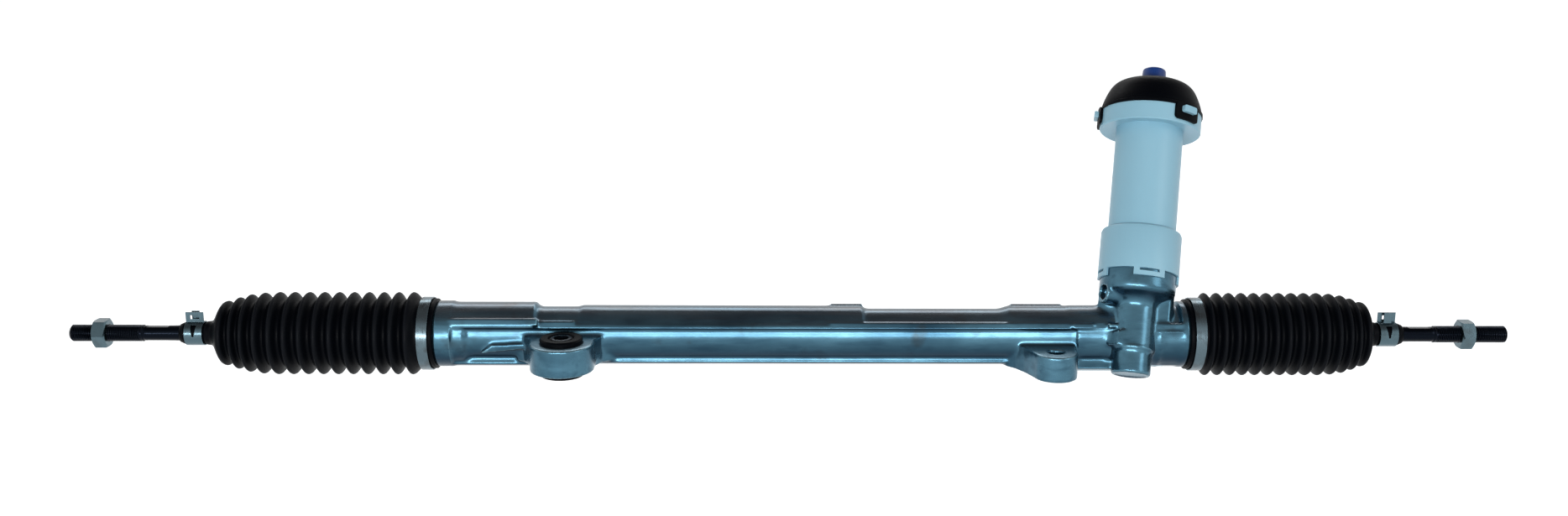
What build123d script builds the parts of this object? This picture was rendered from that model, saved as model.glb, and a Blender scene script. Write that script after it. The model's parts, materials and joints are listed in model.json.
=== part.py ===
from build123d import *
import os
from math import acos, atan, atan2, cos, degrees, hypot, pi, radians, sin, sqrt, tan

# Manual rack-and-pinion steering gear with a die-cast aluminium housing, millimetres.
# +X runs along the rack, +Z is up along the mounting bolts. The origin is the midpoint
# between the two mounting bolt holes, on the plane that the mounting feet sit on.

# ---------------------------------------------------------------- driving sizes: overall
BOLT_SPACING = 399.0          # between the two mounting bolts
BOLT_HOLE_D = 12.5            # for M12 bolts
RACK_Y = 39.25                # rack axis behind the bolt line
RACK_Z = 24.5                 # rack axis above the mounting plane
RACK_CENTRE_X = 2.3           # middle of the housing, between the two end faces
REST_SHIFT = -18.5            # the rack stands this far left of its middle position
HALF_STROKE = 66.0            # rack travel each way from the middle, to the stop faces
CLEAR = 0.3                   # between curved faces of pieces that move apart
FIT = 0.05                    # radial, between a shaft and what holds it

# ---------------------------------------------------------------- gear pair
GEAR_TILT = 26.0              # pinion axis leans back from the mounting bolts' direction
PINION_LEAN = 7.1             # and this much to the right
PINION_FROM_END = 61.15       # where the pinion crosses the rack, from the right end face
CENTRE_DISTANCE = 18.0        # rack axis to pinion axis
TEETH = 8
NORMAL_MODULE = 2.1
HELIX = 20.0
PRESSURE = 20.0
PROFILE_SHIFT = 0.4           # share of the module
ROOT_DEPTH = 1.25             # share of the module
BACKLASH = 0.16               # taken off each pinion flank
PINION_FACE = 29.0            # toothed length of the pinion
RACK_D = 26.0

# ---------------------------------------------------------------- housing
HOUSING_HALF = 325.5          # end faces from the middle
TUBE_R = 21.0                 # lower half of the tube, and the upper half on the right
BORE_R = 16.5
SADDLE_R = 23.4               # upper half along the middle
SADDLE_LOW_R = 22.6           # upper half above the left lug
SHELL_R = 26.4                # thick sections beside the end bells
RIGHT_PAD_R = 24.0            # upper half beside the pinion tower
SADDLE_STEP = 4.0             # length over which the upper half changes its radius
SADDLE_RISE = 0.4             # draft of the long saddle, higher at its left end
LOW_SADDLE_LEFT = 22.0        # low saddle, left of the left bolt
LOW_SADDLE_RIGHT = 9.0        # and right of it
SADDLE_END = 156.0            # the long saddle stops this far left of the right bolt
SADDLE_AGAIN = 42.0           # a short saddle starts this far left of it
RIGHT_PAD_FROM = 12.0         # right pad, right of the right bolt
RIGHT_SHELL_FROM = 62.0       # thick section, right of the right bolt
RIGHT_TAPER = 32.0            # lower half's taper up to it
GATE_PAD_FROM = 181.0         # pad on top of the tube, left of the right bolt
GATE_PAD_LENGTH = 26.0
LUG_PAD_FROM = 32.0
LUG_PAD_LENGTH = 42.0
PAD_HALF = 8.0                # half width of both pads
PAD_PROUD = 0.5
BELL_SEAT_R = 25.6            # under the boot's lip
COLLAR_R = 27.4               # ring that the boot's lip stops against
BELL_BORE_R = 21.5            # room for the ball socket
BELL_DEPTH = 36.8             # end face to the stop face
SEAT_LENGTH = 17.0            # boot seat on each bell
COLLAR_LEFT = 14.0
COLLAR_RIGHT = 6.5
LEDGE_LEFT_Y = 26.9           # die parting flange beside the left bell, from the rack axis
LEDGE_LEFT_FOOT = 2.0         # above the parting plane
LEDGE_LEFT_H = 7.6
LEDGE_Y = 23.8                # and along the rest of the tube
LEDGE_LOW_H = 6.4             # above the left lug
LEDGE_THIN_H = 3.2            # along the long saddle
LEDGE_GATE_H = 5.4            # from the gate pad to the tower
LEDGE_RIGHT_Y = 27.5          # right of the tower, with a second rib under it
LEDGE_RIGHT_FOOT = 0.8
LEDGE_RIGHT_H = 4.2
SECOND_RIB_TOP = -1.6
SECOND_RIB_FOOT = -4.0
RING_RIB_R = 27.3             # upright rib right of the tower, on the lower half
RING_RIB_W = 2.4
RING_RIB_FROM = 19.0          # from where the pinion crosses the rack
OVAL_FROM = 42.5              # oval pad on the flange, left of the pinion
OVAL_LENGTH = 18.5
OVAL_H = 4.4
OVAL_PROUD = 1.2
RIB_HALF = 4.5                # bottom rib's half thickness
RIB_DEPTH = 25.0
RIB_END_DEPTH = 26.6
WEB_DEPTH = 30.4              # deeper rib between the right lug and the tower
WEB_SHELL_R = 23.2            # and the thicker tube above it

LUG_LEFT_R = 26.0
LUG_LEFT_BOTTOM = 5.8
LUG_LEFT_TOP = 28.7
LUG_RIGHT_R = 17.75
LUG_RIGHT_TOP = 21.2
LUG_EDGE = 0.8
RIB_TO_LUG = 69.0             # slanting rib's tip, left of the left bolt
RIB_LOW = 14.2                # its height above the mounting plane
RIB_PROUD = 2.4
BUSH_R = 16.4                 # rubber bush in the left lug
BUSH_FLANGE_R = 17.4
BUSH_FLANGE_H = 4.1
SLEEVE_WALL = 2.2
RACK_BUSH_R = 18.0            # plastic bush at the rack's plain end
RACK_BUSH_LENGTH = 22.0

# ---------------------------------------------------------------- pinion tower
TOWER_R = 17.1
TOWER_FOOT = -37.5            # along the pinion axis, from the nearest point to the rack
FOOT_R = 15.9                 # lower end, round the needle bearing
FOOT_FROM = -18.6             # where it starts, under a ring
FOOT_RING_R = 17.7
FOOT_RING_H = 3.2
FOOT_RECESS_R = 13.0
FOOT_RECESS = 1.4
SHOULDER_HALF = 30.2          # shoulders between the tube and the tower's head
SHOULDER_FOOT = 6.0
CHEEK_REACH = 21.4            # cheek left of the tower, under the parting flange
SIDE_BOSS_R = 9.0
SIDE_BOSS_H = 27.0            # its middle along the pinion axis
SIDE_BOSS_REACH = 30.4
SIDE_BOSS_BORE_R = 6.0
SIDE_BOSS_DEPTH = 6.0
SIDE_BOSS_TURN = 16.0         # it points left and this much to the front
TOWER_HEAD_R = 31.0
TOWER_TOP = 52.0
TOWER_HEAD_FOOT = 33.0        # where the head has its full radius
PINION_ROOM_R = 13.0

NEEDLE_OD = 20.0
NEEDLE_ID = 14.0
NEEDLE_W = 12.0
BEARING_ID = 17.0
BEARING_OD = 40.0
BEARING_W = 12.0
BEARING_FOOT = 29.5           # lower face along the pinion axis
BEARING_BALL_D = 6.75
BEARING_BALLS = 8
RACE_LIP = 2.1                # ball circle to either race's shoulder
CAGE_HALF = 1.3
RETAINER_W = 1.75
RETAINER_GROOVE = 1.6         # radial depth of the retaining ring's groove
SEAL_W = 6.0
SHAFT_R = 8.2                 # between the bearing and the input splines
SPLINE_R = 8.0

# ---------------------------------------------------------------- dust tube and seal
SKIRT_LAP = 5.6               # the skirt reaches this far below the tower's top
SKIRT_R = 32.8
SKIRT_H = 37.0
DUST_TUBE_R = 27.6
DUST_TUBE_H = 86.1            # from the skirt to the flange's edge
DUST_WALL = 2.0
FLANGE_R = 41.6
FLANGE_H = 14.8
FLANGE_DISH = 1.8             # the flange's underside rises this much to the tube
TAB_DROP = 6.2
TAB_SPAN = 46.0
TAB_SLOT_SHARE = 0.64         # of the tab's span
TAB_TURNS = (4.5, 94.5, 184.5, 274.5)
SEAL_HOOK_TURNS = (31.5, 146.5, 262.0)
HOOK_WIDTH = 24.0
HOOK_DROP = 12.3              # below the dome's lower edge
HOOK_T = 2.0
PEG_WIDTH = 13.4
PEG_H = 5.6
PEG_DROP = 0.6                # peg's top below the flange's top
PEG_REACH = 5.3               # out from the flange
DOME_R = 42.4
DOME_H = 28.8
DOME_BEAD_H = 2.5             # thick lower edge
DOME_WALL = 2.6
CAP_R = 10.3
CAP_ROUND = 2.2
CAP_LENGTH = 28.5
CAP_PROUD = 12.8              # above the dome
CAP_CROWN = 3.0

# ---------------------------------------------------------------- rack guide behind the rack
YOKE_R = 14.0
YOKE_LENGTH = 17.0            # behind the liner's back
LINER_T = 1.0
YOKE_BOSS_R = 20.0
PLUG_IN_BOSS = 12.75          # length of plug inside the boss
YOKE_POCKET = 11.0            # depth of the spring pocket in the yoke's back
YOKE_POCKET_R = 9.5
DISC_SPRING_BORE_R = 4.2
PLUG_GAP = 0.2                # play that the springs take up
PLUG_SOCKET_AF = 13.0
PLUG_SOCKET_DEPTH = 8.0
LOCK_NUT_AF = 36.0
LOCK_NUT_T = 6.0

# ---------------------------------------------------------------- tie rods and boots
TIE_ROD_LENGTH = 220.0        # ball centre to tip
BALL_R = 12.5
BALL_SEAT_T = 2.0
SOCKET_R = 19.0
SOCKET_BACK = 20.0            # ball centre to the face that meets the stop
SOCKET_FRONT = 14.0
SOCKET_MOUTH = 9.0
STUD_R = 7.0
STUD_LENGTH = 12.0
STUD_ROOM = 1.0               # rack's bore beyond the stud
ROD_D = 14.3
NECK_D = 13.0
THREAD_D = 14.0
THREAD_LENGTH = 60.0
THREAD_PITCH = 1.5
FLATS_TO_THREAD = 3.0         # spanner flats to the start of the thread
FLATS_LENGTH = 18.0
FLATS_AF = 12.6
ROD_NUT_AF = 22.0
ROD_NUT_T = 11.0
LEFT_NUT_TO_TIP = 20.0        # nut's outer face to the rod's tip
RIGHT_NUT_TO_TIP = 28.0
BOOT_RIDGES = 14
BOOT_RIDGE_R = 33.8
BOOT_VALLEY_DROP = 5.6
BOOT_SKIN = 1.8
BOOT_LIP_R = 29.2
BAND_R = 30.4
BAND_WIDTH = 8.8
BAND_T = 0.9
BAND_FROM = 4.0               # band's outer edge from the housing's end face
CLIP_WIDTH = 14.8
CLIP_R = 10.2
CLIP_T = 0.9
CLIP_EAR_H = 8.2
EAR_GAP = 1.1                 # each ear from the upright line between them
LEFT_CLIP_FROM = 109.0        # clip's inner edge from the ball centre
RIGHT_CLIP_FROM = 113.5

# ---------------------------------------------------------------- worked out from those
RACK_R = RACK_D / 2
LEFT_END = RACK_CENTRE_X - HOUSING_HALF
RIGHT_END = RACK_CENTRE_X + HOUSING_HALF
LEFT_STOP = LEFT_END + BELL_DEPTH
RIGHT_STOP = RIGHT_END - BELL_DEPTH
PINION_X = RIGHT_END - PINION_FROM_END
HALF_BALLS = HOUSING_HALF - BELL_DEPTH + HALF_STROKE + SOCKET_BACK + CLEAR
LEFT_BALL = RACK_CENTRE_X + REST_SHIFT - HALF_BALLS
RIGHT_BALL = RACK_CENTRE_X + REST_SHIFT + HALF_BALLS
TRANSVERSE_MODULE = NORMAL_MODULE / cos(radians(HELIX))
PITCH_R = TEETH * TRANSVERSE_MODULE / 2
TOOTH_SLANT = PINION_LEAN - HELIX     # rack tooth lines, from the tower's upright
RACK_PITCH = pi * NORMAL_MODULE / cos(radians(TOOTH_SLANT))
PITCH_LINE = CENTRE_DISTANCE - PITCH_R - PROFILE_SHIFT * NORMAL_MODULE
RACK_TIP = PITCH_LINE + NORMAL_MODULE
RACK_ROOT = PITCH_LINE - ROOT_DEPTH * NORMAL_MODULE
YOKE_BACK = RACK_R + FIT + LINER_T + YOKE_LENGTH
YOKE_BOSS_END = YOKE_BACK + PLUG_GAP + PLUG_IN_BOSS
PINION_TIP_R = PITCH_R + (1 + PROFILE_SHIFT) * NORMAL_MODULE
PINION_ROOT_R = PITCH_R - (ROOT_DEPTH - PROFILE_SHIFT) * NORMAL_MODULE
# how far from the crossing the pinion's tips still stand in the rack's teeth
MESH_REACH = (sqrt(PINION_TIP_R ** 2 - (CENTRE_DISTANCE - RACK_TIP) ** 2)
              + PINION_FACE / 2 * tan(radians(PINION_LEAN)))
SKIRT_FOOT = TOWER_TOP - SKIRT_LAP
SKIRT_TOP = SKIRT_FOOT + SKIRT_H
FLANGE_FOOT = SKIRT_TOP + DUST_TUBE_H
FLANGE_TOP = FLANGE_FOOT + FLANGE_H
DOME_TOP = FLANGE_TOP + DOME_H
CAP_TOP = DOME_TOP + CAP_PROUD
CAP_FOOT = CAP_TOP - CAP_LENGTH
SHAFT_TOP = CAP_TOP - CAP_CROWN - 0.5
THREAD_FROM = TIE_ROD_LENGTH - THREAD_LENGTH
# where nut and rod grip each other, both are drawn at the thread's pitch radius
ENGAGED_R = (THREAD_D - 0.65 * THREAD_PITCH) / 2

# The gear frame has its origin on the rack axis, X along it, Z up the tower, and -Y is
# where the pinion stands. The tower frame has its Z along the pinion axis.
GEAR = Location((0, RACK_Y, RACK_Z), (-GEAR_TILT, 0, 0))
TOWER_IN_GEAR = Location((PINION_X, -CENTRE_DISTANCE, 0), (0, PINION_LEAN, 0))
TOWER = GEAR * TOWER_IN_GEAR
RACK_LINE = Location((0, RACK_Y, RACK_Z))


# ---------------------------------------------------------------- shapes used all over
def outline(points):
    return make_face(Polyline(*points, close=True))


def turned_z(points):
    """A solid of revolution about Z from (radius, height) points."""
    return revolve(Plane.XZ * outline(points), Axis.Z, 360)


def turned_x(points, sweep=360):
    """A solid of revolution about X from (position, radius) points; 180 gives the upper half."""
    return revolve(Plane.XY * outline(points), Axis.X, sweep)


def bar_x(radius, start, end):
    """A round bar along X."""
    return Pos((start + end) / 2, 0, 0) * Rot(0, 90, 0) * Cylinder(radius, abs(end - start))


def bar_y(radius, start, end):
    """A round bar along Y."""
    return Pos(0, (start + end) / 2, 0) * Rot(90, 0, 0) * Cylinder(radius, abs(end - start))


def bar_z(radius, start, end):
    """A round bar along Z."""
    return Pos(0, 0, (start + end) / 2) * Cylinder(radius, end - start)


def block(x0, x1, y0, y1, z0, z1):
    """A box between its limits."""
    middle = ((x0 + x1) / 2, (y0 + y1) / 2, (z0 + z1) / 2)
    return Pos(*middle) * Box(abs(x1 - x0), abs(y1 - y0), abs(z1 - z0))


def ring_z(inner, outer, start, end):
    """A plain ring about Z."""
    return bar_z(outer, start, end) - bar_z(inner, start, end)


def hexagon_x(across_flats, start, end, bore):
    """A hexagon nut about X, with its corners chamfered by a cone at both faces."""
    corner = across_flats / sqrt(3)
    prism = Plane.YZ.offset(start) * RegularPolygon(corner, 6)
    nut = extrude(prism, end - start)
    slope = (corner - across_flats / 2) * 0.6
    round_off = turned_x([(start, 0), (start, across_flats / 2), (start + slope, corner),
                          (end - slope, corner), (end, across_flats / 2), (end, 0)])
    return (nut & round_off) - bar_x(bore, start - 1, end + 1)


# ---------------------------------------------------------------- housing
def tube_casting():
    """The long tube in the gear frame: upper half, lower half, parting flange and bottom rib."""
    seat_in_left, seat_in_right = LEFT_END + SEAT_LENGTH, RIGHT_END - SEAT_LENGTH
    shell_left, shell_right = seat_in_left + COLLAR_LEFT, seat_in_right - COLLAR_RIGHT
    lug_l, lug_r = -BOLT_SPACING / 2, BOLT_SPACING / 2
    low_from, low_to = lug_l - LOW_SADDLE_LEFT, lug_l + LOW_SADDLE_RIGHT
    thick = lug_r + RIGHT_SHELL_FROM
    middle_ledge = thick - RIGHT_TAPER / 2
    upper = turned_x([
        (shell_left - 1, 0), (shell_left - 1, SHELL_R), (low_from - SADDLE_STEP, SHELL_R),
        (low_from, SADDLE_LOW_R), (low_to, SADDLE_LOW_R), (low_to + SADDLE_STEP, SADDLE_R + SADDLE_RISE),
        (lug_r - SADDLE_END, SADDLE_R), (lug_r - SADDLE_END + SADDLE_STEP, TUBE_R),
        (lug_r - SADDLE_AGAIN, TUBE_R), (lug_r - SADDLE_AGAIN + 2 * SADDLE_STEP, SADDLE_R),
        (lug_r + RIGHT_PAD_FROM, SADDLE_R), (lug_r + RIGHT_PAD_FROM + SADDLE_STEP, RIGHT_PAD_R),
        (shell_right + 1, RIGHT_PAD_R), (shell_right + 1, 0)], 180)
    lower = Rot(180, 0, 0) * turned_x([
        (shell_left - 1, 0), (shell_left - 1, BELL_BORE_R + 3), (LEFT_STOP + 3, BELL_BORE_R + 3),
        (LEFT_STOP + 8, TUBE_R), (thick - RIGHT_TAPER, TUBE_R),
        (thick, SHELL_R), (shell_right + 1, SHELL_R), (shell_right + 1, 0)], 180)
    tube = upper + lower
    gate = lug_r - GATE_PAD_FROM
    for side in (-1, 1):
        left_y, y, right_y = side * LEDGE_LEFT_Y, side * LEDGE_Y, side * LEDGE_RIGHT_Y
        tube += block(shell_left - 1, low_from, 0, left_y, LEDGE_LEFT_FOOT, LEDGE_LEFT_H)
        tube += block(low_from - 1, low_to, 0, y, 0, LEDGE_LOW_H)
        tube += block(low_to - 1, gate, 0, y, 0, LEDGE_THIN_H)
        tube += block(gate - 1, middle_ledge, 0, y, 0, LEDGE_GATE_H)
        tube += block(middle_ledge - 1, shell_right + 1, 0, right_y, LEDGE_RIGHT_FOOT, LEDGE_RIGHT_H)
        tube += block(thick, shell_right + 1, 0, right_y, SECOND_RIB_FOOT, SECOND_RIB_TOP)
    ring_from = PINION_X + RING_RIB_FROM
    tube += Rot(180, 0, 0) * turned_x([
        (ring_from, 0), (ring_from, RING_RIB_R), (ring_from + RING_RIB_W, RING_RIB_R),
        (ring_from + RING_RIB_W, 0)], 180)
    oval = Plane.XZ.offset(LEDGE_Y - 1) * SlotOverall(OVAL_LENGTH, OVAL_H)
    tube += Pos(PINION_X - OVAL_FROM, 0, LEDGE_GATE_H / 2) * extrude(oval, OVAL_PROUD + 1)
    tube += block(shell_left - 1, low_from - 1, -RIB_HALF, RIB_HALF, -RIB_END_DEPTH, 0)
    tube += block(low_from - 2, thick - RIGHT_TAPER, -RIB_HALF, RIB_HALF, -RIB_DEPTH, 0)
    tube += block(thick - RIGHT_TAPER - 1, shell_right + 1, -RIB_HALF, RIB_HALF, -RIB_END_DEPTH, 0)
    # gate and clamping pads on top of the tube
    for start, length in ((GATE_PAD_FROM, GATE_PAD_LENGTH), (LUG_PAD_FROM, LUG_PAD_LENGTH)):
        pad_from = lug_r - start
        tube += block(pad_from, pad_from + length, -PAD_HALF, PAD_HALF, 0, SADDLE_R + PAD_PROUD)
    return tube


def end_bells():
    """Both ends in the gear frame: boot seat with its groove, and the collar behind it."""
    bells = []
    for end, toward, collar in ((LEFT_END, 1, COLLAR_LEFT), (RIGHT_END, -1, COLLAR_RIGHT)):
        seat = end + toward * SEAT_LENGTH
        bells.append(turned_x([
            (end, 0), (end, BELL_SEAT_R - 1.5), (end + toward * 1.5, BELL_SEAT_R),
            (end + toward * BAND_FROM, BELL_SEAT_R), (end + toward * (BAND_FROM + 1.2), BELL_SEAT_R - 1.2),
            (end + toward * (BAND_FROM + BAND_WIDTH - 1.2), BELL_SEAT_R - 1.2),
            (end + toward * (BAND_FROM + BAND_WIDTH), BELL_SEAT_R), (seat, BELL_SEAT_R),
            (seat, COLLAR_R - 0.8), (seat + toward * 0.8, COLLAR_R),
            (seat + toward * (collar - 0.8), COLLAR_R), (seat + toward * collar, COLLAR_R - 0.8),
            (seat + toward * collar, 0)]))
    return bells[0] + bells[1]


def lug_plan(side, points, bottom, top, radius):
    """A mounting lug standing up from its plan: a round boss joined to the tube."""
    centre = side * BOLT_SPACING / 2
    plan = outline([(centre + x, y) for x, y in points]) + Pos(centre, 0) * Circle(radius)
    lug = Pos(0, 0, bottom) * extrude(plan, top - bottom)
    return chamfer(lug.faces().sort_by(Axis.Z)[-1].edges(), LUG_EDGE)


def mounting_lugs():
    """The two lugs, in the part's own frame."""
    into_tube = RACK_Y - 3
    r = LUG_LEFT_R
    left = lug_plan(-1, [(-r, 0), (-r - 1.5, 9), (-r - 8, 19), (-r - 14, 23), (-r - 14, into_tube),
                         (r + 16, into_tube), (r + 13, 24), (r + 5, 19), (r, 8), (r, 0)],
                    LUG_LEFT_BOTTOM, LUG_LEFT_TOP, r)
    r = LUG_RIGHT_R
    front = radians(30)
    right = lug_plan(1, [(-r * cos(front), -r * sin(front)), (-r - 2, 2), (-r - 6, 11), (-r - 12, 21),
                         (-r - 18, 27), (-r - 22, into_tube), (r + 8, into_tube), (r + 5, 24),
                         (r + 1, 18), (r, 0)],
                     0, LUG_RIGHT_TOP, r)
    # rib that climbs along the tube to the left lug
    lug = -BOLT_SPACING / 2
    rib = Plane.XZ * outline([(lug - RIB_TO_LUG, RIB_LOW), (lug - RIB_TO_LUG + 9, RIB_LOW + 7),
                              (lug - r, RIB_LOW + 9), (lug - r, RIB_LOW + 5.4)])
    front_y = RACK_Y - TUBE_R - RIB_PROUD
    return left + right + Pos(0, into_tube, 0) * extrude(rib, into_tube - front_y)


def tower_casting():
    """The pinion tower in the tower frame, with its shoulders, cheek and side boss."""
    head = TOWER_HEAD_FOOT
    ring_foot, ring_top = FOOT_FROM + FOOT_RING_R - FOOT_R, FOOT_FROM + FOOT_RING_H
    tower = turned_z([
        (0, TOWER_FOOT + FOOT_RECESS), (FOOT_RECESS_R, TOWER_FOOT + FOOT_RECESS),
        (FOOT_RECESS_R, TOWER_FOOT), (FOOT_R - 1.2, TOWER_FOOT), (FOOT_R, TOWER_FOOT + 1.2),
        (FOOT_R, FOOT_FROM), (FOOT_RING_R, ring_foot), (FOOT_RING_R, ring_top),
        (TOWER_R, ring_top + 1), (TOWER_R, head - 14),
        (TOWER_R + 2, head - 10), (TOWER_R + 6, head - 7), (TOWER_HEAD_R - 2.5, head - 4.5),
        (TOWER_HEAD_R - 0.6, head - 2.5), (TOWER_HEAD_R, head), (TOWER_HEAD_R, TOWER_TOP - 1),
        (TOWER_HEAD_R - 1, TOWER_TOP), (0, TOWER_TOP)])
    # shoulders behind the tower's front, from the tube up to the head
    half, corner = SHOULDER_HALF, TOWER_R / 4
    shoulders = outline([(-half, CENTRE_DISTANCE), (-half, corner), (-half + corner, 0),
                         (0, -2 * corner), (half - corner, -2 * corner), (half, -corner),
                         (half, CENTRE_DISTANCE)])
    shoulders = Pos(0, 0, SHOULDER_FOOT) * extrude(shoulders, head - SHOULDER_FOOT - 2)
    tower += shoulders & bar_z(TOWER_HEAD_R - 0.4, SHOULDER_FOOT, head)
    # cheek on the left, between the parting flange and the ring round the foot
    reach, step = CHEEK_REACH, CHEEK_REACH - TOWER_R
    cheek = outline([(-reach, CENTRE_DISTANCE), (-reach, -step), (-reach + 3 * step / 2, -3 * step),
                     (0, -TOWER_R), (0, CENTRE_DISTANCE)])
    cheek = Pos(0, 0, ring_top) * extrude(cheek, -ring_top)
    over = Plane.XZ * outline([(-reach - 1, -step - 2), (0, 1), (-reach - 1, 1)])
    tower += cheek - extrude(over, 3 * CENTRE_DISTANCE, both=True)
    boss = Pos(0, 0, SIDE_BOSS_H) * Rot(0, 0, SIDE_BOSS_TURN) * Rot(0, -90, 0)
    tower += boss * bar_z(SIDE_BOSS_R, TOWER_R / 2, SIDE_BOSS_REACH)
    tower -= boss * bar_z(SIDE_BOSS_BORE_R, SIDE_BOSS_REACH - SIDE_BOSS_DEPTH, SIDE_BOSS_REACH + 1)
    return tower


def guide_boss():
    """The rack guide's boss behind the tube, in the gear frame."""
    return Pos(PINION_X, 0, 0) * (bar_y(YOKE_BOSS_R, 0, YOKE_BOSS_END - 1)
                                  + bar_y(YOKE_BOSS_R - 1, 0, YOKE_BOSS_END))


def rack_housing():
    """The one-piece casting with all its bores."""
    casting = GEAR * (tube_casting() + end_bells() + guide_boss()) + TOWER * tower_casting()
    casting += mounting_lugs()
    web_from = BOLT_SPACING / 2 + LUG_RIGHT_R + 2.6
    casting += GEAR * (block(web_from, PINION_X, -RIB_HALF - 3, RIB_HALF, -WEB_DEPTH, 0)
                       + bar_x(WEB_SHELL_R, web_from, PINION_X))
    bush_room = bar_x(RACK_BUSH_R, LEFT_STOP - 1, LEFT_STOP + RACK_BUSH_LENGTH)
    rack_bore = (bar_x(BORE_R, LEFT_STOP, RIGHT_STOP) + bush_room
                 + bar_x(BELL_BORE_R, LEFT_END - 1, LEFT_STOP)
                 + bar_x(BELL_BORE_R, RIGHT_STOP, RIGHT_END + 1))
    guide_bore = Pos(PINION_X, 0, 0) * bar_y(YOKE_R + FIT, 0, YOKE_BOSS_END + 1)
    casting -= GEAR * (rack_bore + guide_bore)
    casting -= TOWER * tower_bore()
    for side, radius in ((-1, BUSH_R), (1, BOLT_HOLE_D / 2)):
        casting -= Pos(side * BOLT_SPACING / 2, 0, 0) * bar_z(radius, -10, LUG_LEFT_TOP + 10)
    chamfer_r = BOLT_HOLE_D / 2 + 1.2
    sink = turned_z([(0, 0), (BOLT_HOLE_D / 2, 0), (chamfer_r, 1.3), (0, 1.3)])
    casting -= Pos(BOLT_SPACING / 2, 0, LUG_RIGHT_TOP - 1.2) * sink
    return casting


def tower_bore():
    """Everything bored into the tower from above, in the tower frame."""
    needle_foot = -PINION_FACE / 2 - 2 - NEEDLE_W
    ring_foot = BEARING_FOOT + BEARING_W
    return (bar_z(NEEDLE_OD / 2, needle_foot, 0)
            + bar_z(PINION_ROOM_R, -PINION_FACE / 2 - 2, BEARING_FOOT)
            + bar_z(BEARING_OD / 2, BEARING_FOOT, TOWER_TOP + 1)
            + bar_z(BEARING_OD / 2 + RETAINER_GROOVE, ring_foot, ring_foot + RETAINER_W))


# ---------------------------------------------------------------- mounting bush
def mount_sleeve():
    """Steel sleeve that the left mounting bolt clamps, down to the mounting plane."""
    bore = BOLT_HOLE_D / 2
    sleeve = ring_z(bore, bore + SLEEVE_WALL, 0, LUG_LEFT_TOP + BUSH_FLANGE_H - 0.4)
    return Pos(-BOLT_SPACING / 2, 0, 0) * sleeve


def mount_bush():
    """Rubber bush round the sleeve, with a flange above and below the lug."""
    inner = BOLT_HOLE_D / 2 + SLEEVE_WALL
    top = LUG_LEFT_TOP + BUSH_FLANGE_H
    foot = LUG_LEFT_BOTTOM - BUSH_FLANGE_H
    bush = turned_z([
        (inner, foot), (BUSH_FLANGE_R, foot), (BUSH_FLANGE_R, LUG_LEFT_BOTTOM),
        (BUSH_R, LUG_LEFT_BOTTOM), (BUSH_R, LUG_LEFT_TOP), (BUSH_FLANGE_R, LUG_LEFT_TOP),
        (BUSH_FLANGE_R, top - 1.2), (BUSH_FLANGE_R - 1.2, top), (inner + 2.4, top),
        (inner + 1.2, top - 1.6), (inner, top - 1.6)])
    return Pos(-BOLT_SPACING / 2, 0, 0) * bush


# ---------------------------------------------------------------- gear pair
def rack_bar():
    """The rack: a round bar with slanting teeth on the pinion's side and a stud bore at each end."""
    left = LEFT_BALL + SOCKET_BACK
    right = RIGHT_BALL - SOCKET_BACK
    bar = turned_x([(left, 0), (left, RACK_R - 1), (left + 1, RACK_R), (right - 1, RACK_R),
                    (right, RACK_R - 1), (right, 0)])
    reach = RACK_R + 1
    first = PINION_X - HALF_STROKE + REST_SHIFT - MESH_REACH
    last = PINION_X + HALF_STROKE + REST_SHIFT + MESH_REACH
    gaps_left = int((PINION_X - first) / RACK_PITCH)
    gaps_right = int((last - PINION_X) / RACK_PITCH)
    flat_from = PINION_X - (gaps_left + 1) * RACK_PITCH
    flat_to = PINION_X + (gaps_right + 1) * RACK_PITCH
    bar -= block(flat_from, flat_to, -reach, -RACK_TIP, -reach, reach)
    gap = tooth_gap(reach)
    gaps = [Pos(PINION_X + k * RACK_PITCH, 0, 0) * gap for k in range(-gaps_left, gaps_right + 1)]
    bar -= gaps
    bore_depth = STUD_LENGTH + STUD_ROOM
    for start, end in ((left - 1, left + bore_depth), (right + 1, right - bore_depth)):
        bar -= bar_x(STUD_R + FIT, start, end)
    return GEAR * bar


def tooth_gap(reach):
    """The cutter for one gap of the rack, along the slanting tooth line."""
    flank = tan(radians(PRESSURE))
    half = pi * NORMAL_MODULE / 4
    above = reach - PITCH_LINE
    below = ROOT_DEPTH * NORMAL_MODULE
    profile = outline([(-half - above * flank, -reach), (half + above * flank, -reach),
                       (half - below * flank, -RACK_ROOT), (-half + below * flank, -RACK_ROOT)])
    cutter = extrude(profile, 2 * reach, both=True)
    return Rot(0, TOOTH_SLANT, 0) * cutter


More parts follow.
